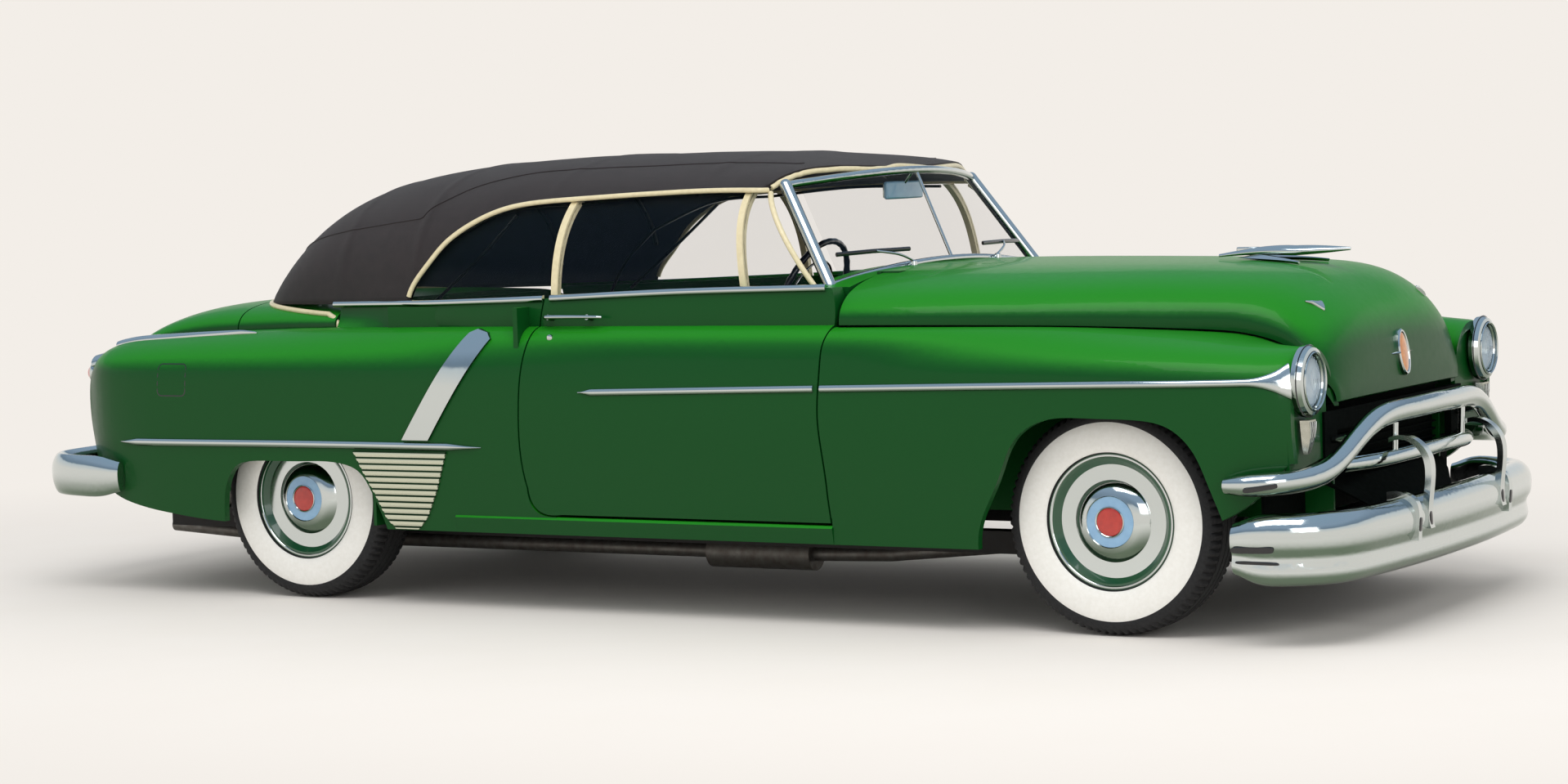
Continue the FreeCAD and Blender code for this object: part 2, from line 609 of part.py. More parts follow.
def dome_half(x, z, inset):
    """Distance of the soft top's side from the middle of the car at height z."""
    crown = interpolate(sorted(TOP_LINE), x, 1) - TOP_BASE_Z - inset
    half = interpolate(sorted(TOP_LINE), x, 2) - inset
    rise = (z - TOP_BASE_Z) / crown
    power = interpolate(sorted(TOP_LINE), x, 3)
    return half * (1 - rise**power) ** (1 / power)


def sash_bar(x_low, x_high, width):
    """Upright window bar that follows the bulge of the glass; it may lean from x_low to x_high."""
    z_low = interpolate(BELT_LINE, x_low, 2) - 4
    z_high = interpolate(WINDOW_LINE, x_high, 1) - 8
    sections = []
    for k in range(7):
        x = x_low + (x_high - x_low) * k / 6
        z = z_low + (z_high - z_low) * k / 6
        outer = -dome_half(x, z, 9)
        inner = -dome_half(x, z, 31)
        sections.append(polygon([(x, outer, z), (x + width, outer, z), (x + width, inner, z), (x, inner, z)]))
    return loft(sections)


post = sash_bar(-262, -268, 25)
vent_post = sash_bar(455, 412, 22)
vent_line = [(704, 1056), (650, 1128), (590, 1220), (536, 1300), (500, 1348)]
vent_edge = tube([(x, -dome_half(x, z, 19), z) for x, z in vent_line], 9)
sash = Part.makeCompound([piece.cut(door) for piece in (post, vent_post, vent_edge)])
nodes["window_frame_right"] = sash
nodes["window_frame_left"] = mirrored(sash)
door_pane = door_pane.cut(door).cut(post).cut(vent_post).cut(vent_edge)
nodes["door_glass_right"] = door_pane
nodes["door_glass_left"] = mirrored(door_pane)

# Windshield
base_line = full_width(SHIELD_BASE)
head_line = full_width(SHIELD_TOP)
base_edge = curve(base_line)
head_edge = curve(head_line)
base_bar = tube(base_line, FRAME_R)
head_bar = tube(head_line, FRAME_R)
pillars = [rod(SHIELD_BASE[0], SHIELD_TOP[0], PILLAR_R), rod(base_line[-1], head_line[-1], PILLAR_R)]
corners = [ball(SHIELD_BASE[0], PILLAR_R), ball(base_line[-1], PILLAR_R), ball(SHIELD_TOP[0], PILLAR_R), ball(head_line[-1], PILLAR_R)]
divider = rod(SHIELD_BASE[-1], SHIELD_TOP[-1], DIVIDER_R)
cowl_fill = loft([cowl_section(x, 120.0, SEAT_GAP) for x in cowl_xs])
nodes["windshield_frame"] = fuse([base_bar, head_bar, divider] + pillars + corners).cut(cowl_fill)

base_points = base_edge.discretize(Number=25)[1:-1]
head_points = head_edge.discretize(Number=25)[1:-1]
pane_sections = []
for low, high in zip(base_points, head_points):
    run = high - low
    a = low + run * 0.005
    b = high - run * 0.005
    pane_sections.append(Part.makePolygon([a + V(GLASS / 2, 0, 0), b + V(GLASS / 2, 0, 0), b - V(GLASS / 2, 0, 0), a - V(GLASS / 2, 0, 0), a + V(GLASS / 2, 0, 0)]))
pane = loft(pane_sections)
nodes["windshield_glass"] = pane.cut(nodes["windshield_frame"]).cut(cowl_fill)

# Bumpers
def bumper_bar(half_path, tiers):
    """Bar with a rounded section along a path given from the right end to the middle."""
    path = curve(full_width(half_path))
    count = 41
    wires = []
    for k, p in enumerate(path.discretize(Number=count)):
        t = path.tangentAt(path.getParameterByLength(path.Length * k / (count - 1)))
        out = V(t.y, -t.x, 0).normalize()
        end = min(k, count - 1 - k)
        scale = 0.72 if end == 0 else 0.92 if end == 1 else 1.0
        ring = Part.BSplineCurve()
        ring.interpolate([p + out * a * scale + V(0, 0, b * scale) for a, b in tiers], PeriodicFlag=True)
        wires.append(Part.Wire(ring.toShape()))
    return loft(wires)


def strap(outer, inner, y, half):
    """Bent flat strap with its edges drawn in side view."""
    wire = Part.Wire([
        curve([(x, 0, z) for x, z in outer]),
        Part.makeLine(V(outer[-1][0], 0, outer[-1][1]), V(inner[0][0], 0, inner[0][1])),
        curve([(x, 0, z) for x, z in inner]),
        Part.makeLine(V(inner[-1][0], 0, inner[-1][1]), V(outer[0][0], 0, outer[0][1])),
    ])
    return side_prism(wire, y - half, y + half)


front_bar = bumper_bar(FRONT_BUMPER, FRONT_TIERS)
guards = [strap(STRAP_OUTER, STRAP_INNER, y, STRAP_HALF) for y in (-GUARD_Y, GUARD_Y)]
guards += [strap(RIB_OUTER, RIB_INNER, y, RIB_HALF) for y in (-GUARD_Y - RIB_SIDE, GUARD_Y + RIB_SIDE)]
irons = [box(2060, 2490, y - 30, y + 30, FLOOR_Z, FLOOR_Z + 40) for y in (-440, 440)]
nodes["front_bumper"] = fuse([front_bar] + guards + irons)
rear_bar = bumper_bar(REAR_BUMPER, REAR_TIERS)
rear_irons = [box(-2500, -2290 - SEAT_GAP, y - 30, y + 30, 400, 440) for y in (-440, 440)]
rear_guards = [box(-2545, -2500, y - 28, y + 28, 330, 520) for y in (-420, 420)]
plate = box(-PLATE_X, -PLATE_X + 4, -165, 165, PLATE_Z - 80, PLATE_Z + 80)
for dy in (-PLATE_DY / 2, PLATE_DY / 2):
    for dz in (-PLATE_DZ / 2, PLATE_DZ / 2):
        plate = plate.cut(Part.makeCylinder(PLATE_HOLE_R, 20, V(-PLATE_X - 8, dy, PLATE_Z + dz), V(1, 0, 0)))
plate_stay = box(-2504, -PLATE_X + 4, -60, 60, 440, PLATE_Z - 70)
nodes["rear_bumper"] = fuse([rear_bar, plate, plate_stay] + rear_irons + rear_guards)

# Grille bars and lower nose panel
upper_bar = bumper_bar(GRILLE_BAR, GRILLE_TIERS)
inner_bar = tube(full_width(INNER_BAR), 24)
stays = [rod((2318 + SEAT_GAP, y, 575), (2407, y, 588), 12) for y in (-545, 545)]
stays += [rod((2318 + SEAT_GAP, y, 498), (2352, y, 498), 14) for y in (-512, 512)]
stalks = [rod((2420, y, 500), (2424, y, 612), 10) for y in (-300, 300)]
fender_fill = loft([
    Part.Wire([
        curve(side_points(x, -TRIM_GAP)),
        Part.makeLine(V(*side_points(x, -TRIM_GAP)[-1]), V(x, -480, side_points(x, 0)[-1][2])),
        Part.makeLine(V(x, -480, side_points(x, 0)[-1][2]), V(*side_points(x, -TRIM_GAP)[0])),
    ])
    for x in stations(1950, 2322)
])
grille = fuse([upper_bar, inner_bar] + stays + stalks).cut(fender_fill).cut(mirrored(fender_fill))
grille = grille.cut(fender).cut(mirrored(fender))
nodes["grille"] = grille
nose_sheet = box(2296, 2318, -600, 600, 470, 660).cut(fender).cut(mirrored(fender))
nose_hole = box(2200, 2400, -500, 500, 495, 600)
nodes["nose_panel"] = nose_sheet.cut(nose_hole)

# Lamps
def turned(points, center, axis):
    """Solid of revolution: points are (distance along the axis, radius)."""
    face = Part.Face(Part.makePolygon([V(a, 0, r) for a, r in points + points[:1]]))
    solid = face.revolve(V(0, 0, 0), V(1, 0, 0), 360)
    if axis == "Y":
        solid.rotate(V(0, 0, 0), V(0, 0, 1), 90)
    solid.translate(V(*center))
    return solid


bezel = turned([(0, 80), (0, 104), (14, 106), (30, 98), (34, 88), (22, 82)], (LAMP_X, -LAMP_Y, LAMP_Z), "X")
lens = turned([(2, 0), (2, 79.5), (16, 79.5), (26, 66), (34, 40), (37, 0)], (LAMP_X, -LAMP_Y, LAMP_Z), "X")
nodes["headlamp_bezels"] = both_sides(bezel)
nodes["headlamp_lenses"] = both_sides(lens)
park = loft([polygon([(LAMP_X, -LAMP_Y - w, z), (LAMP_X, -LAMP_Y + w, z), (LAMP_X + d, -LAMP_Y + w * 0.7, z), (LAMP_X + d, -LAMP_Y - w * 0.7, z)]) for w, d, z in ((14, 10, 552), (26, 22, 590), (34, 26, 630), (38, 24, 652))])
nodes["parking_lamps"] = both_sides(park)
tail_lamp = turned([(0, 0), (0, 42), (-30, 40), (-52, 26), (-60, 0)], (-2285.3, -748, 770), "X")
nodes["tail_lamps"] = both_sides(tail_lamp)

# Trim in relief
def relief(first, last, thick, gap=2 * SEAT_GAP):
    """Skin that lies on the side of the body, thick outward."""
    wires = []
    for x in stations(first, last):
        low = side_points(x, -gap)
        high = side_points(x, -gap - thick)
        wires.append(Part.Wire([
            curve(low),
            Part.makeLine(V(*low[-1]), V(*high[-1])),
            curve(list(reversed(high))),
            Part.makeLine(V(*high[0]), V(*low[0])),
        ]))
    return loft(wires)


def outline(points):
    return side_prism(polygon([(x, 0, z) for x, z in points]), -1000, -700)


spear = relief(-820, -420, SPEAR_LIFT).common(outline(SPEAR_OUTLINE))
nodes["side_spears"] = both_sides(spear)
guard = relief(-1030, -590, GUARD_LIFT + RIB_LIFT).common(outline(GUARD_OUTLINE))
outer_layer = relief(-1030, -590, RIB_LIFT + 3, GUARD_LIFT + 2 * SEAT_GAP)
for k in range(RIB_COUNT):
    z = RIB_FIRST_Z + RIB_PITCH * k
    guard = guard.cut(outer_layer.common(box(-1100, -560, -1000, -800, z, z + RIB_PITCH * 0.5)))
nodes["rock_guards"] = both_sides(guard)

# Floor, frame and running gear
floor_end = FIREWALL_X - FIREWALL_SHEET - SEAT_GAP
floor = box(-940 + SEAT_GAP, floor_end, -811, 811, FLOOR_Z, FLOOR_Z + FLOOR_SHEET)
floor = fuse([floor, box(-1000 + SEAT_GAP, floor_end, -600, 600, FLOOR_Z, FLOOR_Z + FLOOR_SHEET)])
hump = box(-1000 + SEAT_GAP, floor_end, -TUNNEL_HALF - 10, TUNNEL_HALF + 10, FLOOR_Z, TUNNEL_Z)
tunnel = box(-1100, 1000, -TUNNEL_HALF, TUNNEL_HALF, FLOOR_Z - 10, TUNNEL_Z - 10)
floor = fuse([floor, hump]).cut(tunnel)
nodes["floor_pan"] = floor.cut(nodes["body_shell"])
rails = [box(-2240, 2140, y - 35, y + 35, RAIL_Z, FLOOR_Z - SEAT_GAP) for y in (-430, 430)]
crosses = [box(x - 40, x + 40, -430, 430, RAIL_Z + 10, FLOOR_Z - SEAT_GAP) for x in (-2100, -900, -100, 500, 1300, 1800, 2050)]
nodes["chassis_frame"] = fuse(rails + crosses)
nodes["engine"] = box(1150, 1900, -230, 230, FLOOR_Z, 880)
nodes["driveline"] = rod((1145, 0, 325), (REAR_X + AXLE_BALL_R + 8, 0, TYRE_R), 36)
axle_end = HALF_TRACK + HUB_SEAT - SEAT_GAP
axle_tube = rod((REAR_X, -axle_end, TYRE_R), (REAR_X, axle_end, TYRE_R), 40)
axle_blocks = [box(REAR_X - 60, REAR_X + 60, y - 30, y + 30, FLOOR_Z, TYRE_R) for y in (-430, 430)]
nodes["rear_axle"] = fuse([axle_tube, ball((REAR_X, 0, TYRE_R), AXLE_BALL_R)] + axle_blocks)
arm_low = box(FRONT_X - 35, FRONT_X + 35, -704, -465 - SEAT_GAP, ARM_LOW_Z - 18, ARM_LOW_Z)
arm_high = box(FRONT_X - 35, FRONT_X + 35, -704, -APRON_Y - SEAT_GAP, ARM_HIGH_Z, ARM_HIGH_Z + 18)
coil = rod((FRONT_X, -560, 230), (FRONT_X, -560, 480), 50)
nodes["front_suspension"] = both_sides(fuse([arm_low, arm_high, coil]))
nodes["fuel_tank"] = box(-2060, -1620, -380, 380, FLOOR_Z, 339.7)
muffler = rod((20, -330, 150), (420, -330, 150), 55)
pipe_line = [(1140, -330, 200), (700, -330, 158), (400, -330, 150), (-1900, -330, 150), (-2340, -330, 175)]
pipe = fuse([rod(a, b, 24) for a, b in zip(pipe_line, pipe_line[1:])] + [ball(p, 24) for p in pipe_line[1:-1]])
hangers = [box(x - 8, x + 8, -336, -324, 150, RAIL_Z + 10 - SEAT_GAP) for x in (500, -100, -900, -2100)]
nodes["exhaust"] = fuse([pipe, muffler] + hangers)

# Interior
nodes["dashboard"] = box(640, FIREWALL_X - FIREWALL_SHEET - SEAT_GAP, -764, 764, 820, 1020)


def seat(profile, half_width):
    """Bench seat: a side profile drawn across the car, clear of the tunnel."""
    bench = side_prism(polygon([(x, 0, z) for x, z in profile]), -half_width, half_width)
    clear = box(-1100, 1000, -TUNNEL_HALF - 10 - SEAT_GAP, TUNNEL_HALF + 10 + SEAT_GAP, 200, TUNNEL_Z + SEAT_GAP)
    return bench.cut(clear)


LOW = FLOOR_Z + FLOOR_SHEET + SEAT_GAP
PAN = SEAT_PAN_Z + 12 + SEAT_GAP
nodes["front_seat"] = seat([(-330, LOW), (150, LOW), (200, 480), (190, 560), (-280, 530), (-360, 960), (-400, 980), (-450, 960), (-420, 400)], 690)
nodes["rear_seat"] = seat([(-1100, PAN), (-1000 + SEAT_GAP, PAN), (-1000 + SEAT_GAP, LOW), (-720, LOW), (-680, 500), (-690, 580), (-1060, 560), (-1140, 920), (-1170, 940), (-1227, 930), (-1227, PAN)], 590)
column_start = (640, STEER_Y, 760)
nodes["steering_column"] = rod((640, STEER_Y, 700), (40, STEER_Y, 964.3), 24)
rim = Part.makeTorus(210, 13)
spokes = [Part.makeBox(200, 24, 12, V(0, -12, -6)), Part.makeBox(200, 24, 12, V(-200, -12, -6)), Part.makeCylinder(36, 24, V(0, 0, -12))]
wheel_shape = fuse([rim] + spokes)
wheel_shape.rotate(V(0, 0, 0), V(0, 1, 0), -63)
wheel_shape.translate(V(20, STEER_Y, 973))
nodes["steering_wheel"] = wheel_shape

# Wheels and tyres
def wheel_set(x, side, label):
    """Tyre and wheel at one corner; side is -1 on the right and 1 on the left."""
    tyre_profile = [(-TYRE_HALF_WIDTH + 18, RIM_R), (-TYRE_HALF_WIDTH, RIM_R + 50), (-TYRE_HALF_WIDTH + 2, RIM_R + 90), (-TREAD_HALF_WIDTH, TYRE_R - 4), (-TREAD_HALF_WIDTH + 12, TYRE_R),
                    (TREAD_HALF_WIDTH - 12, TYRE_R), (TREAD_HALF_WIDTH, TYRE_R - 4), (TYRE_HALF_WIDTH - 2, RIM_R + 90), (TYRE_HALF_WIDTH, RIM_R + 50), (TYRE_HALF_WIDTH - 18, RIM_R)]
    center = (x, side * HALF_TRACK, TYRE_R)
    tyre = turned(tyre_profile, center, "Y")
    rim_profile = [(-RIM_HALF_WIDTH, RIM_R - SEAT_GAP), (-RIM_HALF_WIDTH, RIM_R - 22), (20, RIM_R - 34), (HUB_SEAT, 64), (HUB_SEAT, 0), (74, 0), (70, 60), (52, 118), (44, 132), (52, 160), (RIM_HALF_WIDTH, RIM_R - 18), (RIM_HALF_WIDTH, RIM_R - SEAT_GAP)]
    wheel = turned(rim_profile, (0, 0, 0), "Y")
    if side < 0:
        wheel = wheel.mirror(V(0, 0, 0), V(0, 1, 0))
    wheel.translate(V(*center))
    nodes["tyre_" + label] = tyre
    nodes["wheel_" + label] = wheel


for x, side, label in ((FRONT_X, -1, "front_right"), (FRONT_X, 1, "front_left"), (REAR_X, -1, "rear_right"), (REAR_X, 1, "rear_left")):
    wheel_set(x, side, label)

spindle_end = -HALF_TRACK - HUB_SEAT + SEAT_GAP
kingpin = rod((FRONT_X, -KINGPIN_Y, ARM_LOW_Z + SEAT_GAP), (FRONT_X, -KINGPIN_Y, ARM_HIGH_Z - SEAT_GAP), 22)
knuckle = fuse([kingpin, rod((FRONT_X, -KINGPIN_Y, TYRE_R), (FRONT_X, spindle_end, TYRE_R), 26)])
nodes["knuckle_right"] = knuckle
nodes["knuckle_left"] = mirrored(knuckle)

if __name__ == "__main__":
    os.makedirs("parts", exist_ok=True)
    for name, shape in nodes.items():
        print(name, shape.isValid(), len(shape.Solids), round(shape.Volume / 1e6, 2), shape.BoundBox)
        shape.exportStep("parts/" + name + ".step")
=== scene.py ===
import math

import bmesh
import bpy
from mathutils import Matrix, Vector, noise
from mathutils.bvhtree import BVHTree


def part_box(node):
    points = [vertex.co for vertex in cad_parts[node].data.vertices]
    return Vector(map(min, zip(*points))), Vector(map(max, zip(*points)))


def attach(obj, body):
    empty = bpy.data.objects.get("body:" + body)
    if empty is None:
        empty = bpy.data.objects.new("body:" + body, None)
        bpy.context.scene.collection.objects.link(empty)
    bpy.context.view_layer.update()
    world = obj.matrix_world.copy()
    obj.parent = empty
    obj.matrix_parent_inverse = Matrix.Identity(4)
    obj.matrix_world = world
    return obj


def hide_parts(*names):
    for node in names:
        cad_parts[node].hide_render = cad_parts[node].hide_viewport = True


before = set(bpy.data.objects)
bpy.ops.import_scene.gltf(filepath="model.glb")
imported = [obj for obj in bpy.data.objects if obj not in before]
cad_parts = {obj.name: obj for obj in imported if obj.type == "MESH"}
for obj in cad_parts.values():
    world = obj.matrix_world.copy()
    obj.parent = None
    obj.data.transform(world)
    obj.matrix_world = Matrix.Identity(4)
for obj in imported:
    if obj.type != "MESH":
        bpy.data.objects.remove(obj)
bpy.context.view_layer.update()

# Camera: where the photograph was taken from
EYE = Vector((5.9209, -9.7658, 1.4248))
YAW = 0.53617
PITCH = 0.067159
ROLL = -0.032067
FOCAL_PX = 4059.8
PHOTO_W = 1918
PHOTO_H = 959
SENSOR = 36.0

level = Vector((math.cos(YAW), math.sin(YAW), 0))
ahead = Vector((-math.sin(YAW), math.cos(YAW), 0))
forward = (ahead * math.cos(PITCH) - Vector((0, 0, math.sin(PITCH)))).normalized()
upward = level.cross(forward)
cam_right = level * math.cos(ROLL) + upward * math.sin(ROLL)
cam_up = upward * math.cos(ROLL) - level * math.sin(ROLL)

camera_data = bpy.data.cameras.new("camera")
camera_data.sensor_width = SENSOR
camera_data.lens = SENSOR * FOCAL_PX / PHOTO_W
camera = bpy.data.objects.new("camera", camera_data)
bpy.context.scene.collection.objects.link(camera)
camera.matrix_world = Matrix((
    (cam_right.x, cam_up.x, -forward.x, EYE.x),
    (cam_right.y, cam_up.y, -forward.y, EYE.y),
    (cam_right.z, cam_up.z, -forward.z, EYE.z),
    (0, 0, 0, 1),
))
camera_data.clip_start = 0.1
camera_data.clip_end = 200
bpy.context.scene.camera = camera
bpy.context.scene.view_settings.view_transform = "Standard"

# Places read from the frame
RIGHT = -1
LEFT = 1
SIDES = ((RIGHT, "right"), (LEFT, "left"))
WHEEL_LOW, WHEEL_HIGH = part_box("tyre_front_right")
TYRE_R = (WHEEL_HIGH.z - WHEEL_LOW.z) / 2
TRACK_Y = -(WHEEL_HIGH.y + WHEEL_LOW.y) / 2
FRONT_X = (WHEEL_HIGH.x + WHEEL_LOW.x) / 2
REAR_LOW, REAR_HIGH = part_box("tyre_rear_right")
REAR_X = (REAR_HIGH.x + REAR_LOW.x) / 2


# Materials
def linear(r, g, b):
    """Scene colour of an 8 bit colour."""
    return tuple(((c / 255 + 0.055) / 1.055) ** 2.4 if c > 10 else c / 255 / 12.92 for c in (r, g, b)) + (1.0,)


def node(tree, kind, inputs=None, **settings):
    """New shader node; each input is a fixed value or an output of another node."""
    new = tree.nodes.new("ShaderNode" + kind)
    for key, value in settings.items():
        setattr(new, key, value)
    for key, value in (inputs or {}).items():
        if isinstance(value, bpy.types.NodeSocket):
            tree.links.new(value, new.inputs[key])
        else:
            new.inputs[key].default_value = value
    return new


def blended(tree, a, b, factor, blend="MIX"):
    """Output of a node that mixes two colours."""
    inputs = {"A": a, "B": b, "Factor": factor}
    return node(tree, "Mix", inputs, data_type="RGBA", blend_type=blend).outputs["Result"]


def plain_material(name):
    """New material, its node tree and its shader."""
    mat = bpy.data.materials.new(name)
    mat.use_nodes = True
    return mat, mat.node_tree, mat.node_tree.nodes["Principled BSDF"]


def relief(tree, height, strength, distance):
    """Bump from a height output, on the material's shader."""
    bump = node(tree, "Bump", {"Strength": strength, "Distance": distance, "Height": height})
    tree.links.new(bump.outputs["Normal"], tree.nodes["Principled BSDF"].inputs["Normal"])


def finish(
    name, color, other=None, mix=0.5, rough=0.4, spread=0.08, scale=40.0, bump=0.0, metal=0.0, coat=0.0, **sockets
):
    """Material with a mottled colour, an uneven gloss and a fine bump, all at one scale."""
    mat, tree, shader = plain_material(name)
    first = linear(*color)
    second = linear(*other) if other else tuple(c * 0.8 for c in first[:3]) + (1,)
    place = node(tree, "TexCoord").outputs["Object"]
    speck = node(tree, "TexNoise", {"Scale": scale, "Detail": 6, "Vector": place}).outputs["Fac"]
    share = node(tree, "MapRange", {"From Min": 0.3, "From Max": 0.7, "To Max": mix, "Value": speck})
    tree.links.new(blended(tree, first, second, share.outputs["Result"]), shader.inputs["Base Color"])
    dull = {"To Min": max(rough - spread, 0.02), "To Max": min(rough + spread, 1.0), "Value": speck}
    tree.links.new(node(tree, "MapRange", dull).outputs["Result"], shader.inputs["Roughness"])
    shader.inputs["Metallic"].default_value = metal
    shader.inputs["Coat Weight"].default_value = coat
    for key, value in sockets.items():
        shader.inputs[key.replace("_", " ")].default_value = value
    if bump:
        relief(tree, speck, bump, 0.002)
    return mat


def painted_light_by_slope(mat, shaded_color, lit_color, low, high):
    """Paints light and shade into a material's colour: darker where the surface faces sideways or down, lighter where
    it faces the sky.
    """
    tree = mat.node_tree
    facing = node(tree, "SeparateXYZ", {"Vector": node(tree, "TexCoord").outputs["Normal"]}).outputs["Z"]
    limits = {"From Min": low, "From Max": high, "Value": facing}
    share = node(tree, "MapRange", limits, interpolation_type="SMOOTHSTEP").outputs["Result"]
    color = blended(tree, linear(*shaded_color), linear(*lit_color), share)
    speck = node(tree, "TexNoise", {"Scale": 900}).outputs["Color"]
    grain = blended(tree, color, speck, 0.25, "MULTIPLY")
    tree.links.new(grain, tree.nodes["Principled BSDF"].inputs["Base Color"])
    return mat


def wave(tree, direction, pitch, distortion=0.0):
    """Output that rises and falls along an axis, once per pitch in metres."""
    place = node(tree, "TexCoord").outputs["Object"]
    inputs = {"Scale": 0.314 / pitch, "Distortion": distortion, "Vector": place}
    return node(tree, "TexWave", inputs, bands_direction=direction).outputs["Fac"]


def woven(name, color, thread, pitch, rough=0.9, sheen=0.3, depth=0.4):
    """Cloth of crossing threads with the given pitch in metres."""
    mat = finish(name, color, thread, 0.5, rough, 0.05, 25.0, Sheen_Weight=sheen, Sheen_Roughness=0.5)
    tree = mat.node_tree
    total = wave(tree, "X", pitch, 0.4)
    for direction in ("Y", "Z"):
        total = node(tree, "Math", {0: total, 1: wave(tree, direction, pitch, 0.4)}, operation="ADD").outputs["Value"]
    relief(tree, total, depth, pitch * 0.4)
    return mat


def ribbed(name, bright, gap, pitch):
    """Bright metal with dark green grooves between ribs that run level."""
    mat = finish(name, bright, None, 0.3, 0.2, 0.05, 20.0, metal=0.85)
    tree = mat.node_tree
    rise = wave(tree, "Z", pitch)
    share = node(tree, "MapRange", {"From Min": 0.12, "From Max": 0.3, "Value": rise}).outputs["Result"]
    color = blended(tree, linear(*gap), linear(*bright), share)
    tree.links.new(color, tree.nodes["Principled BSDF"].inputs["Base Color"])
    relief(tree, rise, 0.6, 0.003)
    return mat


def glass(name, color, clear, rough=0.02):
    """Thin pane: mostly see-through, with a clear gloss."""
    mat, tree, shader = plain_material(name)
    shader.inputs["Roughness"].default_value = rough
    shader.inputs["Alpha"].default_value = 1.0 - clear
    shader.inputs["Specular IOR Level"].default_value = 0.6
    tint = linear(*color)
    smear = node(tree, "TexNoise", {"Scale": 3}).outputs["Fac"]
    tree.links.new(blended(tree, tint, tuple(c * 0.9 for c in tint[:3]) + (1,), smear), shader.inputs["Base Color"])
    return mat


# Body paint: its colour is painted light and shade, dark green on faces that turn sideways or down and bright green on
# faces that turn up.
PAINT = finish("paint", (20, 84, 36), rough=0.4, spread=0.05, coat=0.16, Coat_Roughness=0.05, Specular_IOR_Level=0.12)
painted_light_by_slope(PAINT, (8, 76, 26), (30, 136, 26), 0.2, 0.62)
RIM_PAINT = finish("rim_paint", (14, 74, 42), rough=0.3, spread=0.05, coat=0.7, Coat_Roughness=0.05)
CHROME = finish("chrome", (196, 204, 200), (172, 184, 186), 0.6, 0.1, 0.04, 12, metal=1.0)
# Chrome: painted reflection and shade, dark green-grey on faces that turn down and near white on faces that turn up.
painted_light_by_slope(CHROME, (112, 130, 112), (222, 228, 226), -0.45, 0.05)
DULL_CHROME = finish("dull_chrome", (190, 190, 178), (165, 165, 150), 0.6, 0.28, 0.08, 60, 0.1, metal=1.0)
GUARD_RIBS = ribbed("rock_guard_ribs", (206, 208, 186), (26, 56, 34), 0.021)
CREAM = finish("cream_rail", (226, 214, 176), (205, 190, 150), 0.5, 0.35, 0.1, 70, 0.05, coat=0.3)
RUBBER = finish("rubber", (26, 26, 28), (14, 14, 15), 0.7, 0.75, 0.1, 120, 0.3)
WHITEWALL = finish("whitewall", (244, 243, 238), (228, 226, 218), 0.4, 0.5, 0.1, 90, 0.1)
UNDER = finish("underbody", (24, 23, 24), (40, 34, 30), 0.6, 0.7, 0.15, 30, 0.3)
IRON = finish("engine_iron", (58, 66, 60), (36, 38, 36), 0.7, 0.6, 0.15, 25, 0.4, metal=0.3)
STEEL = finish("plain_steel", (120, 118, 114), (84, 74, 64), 0.6, 0.5, 0.15, 35, 0.25, metal=0.8)
CANVAS = woven("top_canvas", (30, 18, 20), (14, 9, 11), 0.0016, sheen=0.12)
LINER = woven("top_liner", (26, 32, 58), (16, 20, 40), 0.003, depth=0.3)
VINYL = finish("seat_vinyl", (24, 62, 42), (16, 46, 32), 0.6, 0.45, 0.1, 260, 0.35, coat=0.1)
PIPING = finish("seat_piping", (196, 196, 170), (170, 168, 140), 0.5, 0.5, 0.1, 200, 0.1)
CARPET = woven("carpet", (20, 40, 34), (10, 22, 20), 0.004, 0.98, 0.6, 0.8)
TRIM_NAVY = finish("inner_trim", (24, 34, 58), (16, 24, 42), 0.6, 0.55, 0.1, 180, 0.2)
IVORY = finish("ivory", (30, 34, 50), (20, 22, 34), 0.4, 0.3, 0.08, 60, coat=0.5)
BLACK = finish("black_enamel", (14, 14, 16), (6, 6, 8), 0.6, 0.3, 0.08, 80, coat=0.4)
RED_LENS = finish("red_lens", (206, 30, 22), (160, 14, 14), 0.6, 0.12, 0.04, 220, 0.1, coat=1.0)
AMBER = finish("amber_enamel", (214, 138, 62), (176, 96, 36), 0.7, 0.2, 0.05, 60, coat=1.0)
BLUE_DISC = finish("pale_blue_enamel", (140, 182, 214), (118, 160, 200), 0.5, 0.22, 0.05, 40, coat=0.8)
RED_DISC = finish("red_enamel", (190, 44, 30), (150, 26, 20), 0.5, 0.25, 0.05, 50, coat=0.8)
DIAL = finish("dial_face", (212, 208, 188), (190, 186, 160), 0.4, 0.4, 0.05, 90)
# Near-black and barely glossy: painted shade of the recess behind the grille and under the nose.
MOUTH_SHADE = finish("grille_shade_screen", (8, 14, 11), (3, 5, 4), 0.6, 0.85, 0.1, 60, 0.2, Specular_IOR_Level=0.05)
PANE = glass("window_pane", (40, 58, 70), 0.95)
LENS = glass("lamp_lens", (200, 220, 235), 0.55, 0.05)


# Mesh helpers
def piece(name, verts, faces, mats, body, indices=None, sharp=40.0, closed=True):
    """New piece from points and faces that rides on a body."""
    mesh = bpy.data.meshes.new(name)
    mesh.from_pydata([tuple(v) for v in verts], [], faces)
    for mat in mats if isinstance(mats, list) else [mats]:
        mesh.materials.append(mat)
    if indices:
        mesh.polygons.foreach_set("material_index", indices)
    mesh.polygons.foreach_set("use_smooth", [True] * len(mesh.polygons))
    mesh.update()
    if closed:
        work = bmesh.new()
        work.from_mesh(mesh)
        bmesh.ops.recalc_face_normals(work, faces=work.faces)
        work.to_mesh(mesh)
        work.free()
    mesh.set_sharp_from_angle(angle=math.radians(sharp))
    obj = bpy.data.objects.new(name, mesh)
    bpy.context.scene.collection.objects.link(obj)
    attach(obj, body)
    return obj


def circle(count, start=0.0):
    """Cosine and sine of evenly spaced angles round a circle."""
    angles = [start + 2 * math.pi * k / count for k in range(count)]
    return [(math.cos(a), math.sin(a)) for a in angles]


def squared(value, power):
    """Cosine or sine pushed towards a square corner."""
    return math.copysign(abs(value) ** power, value)


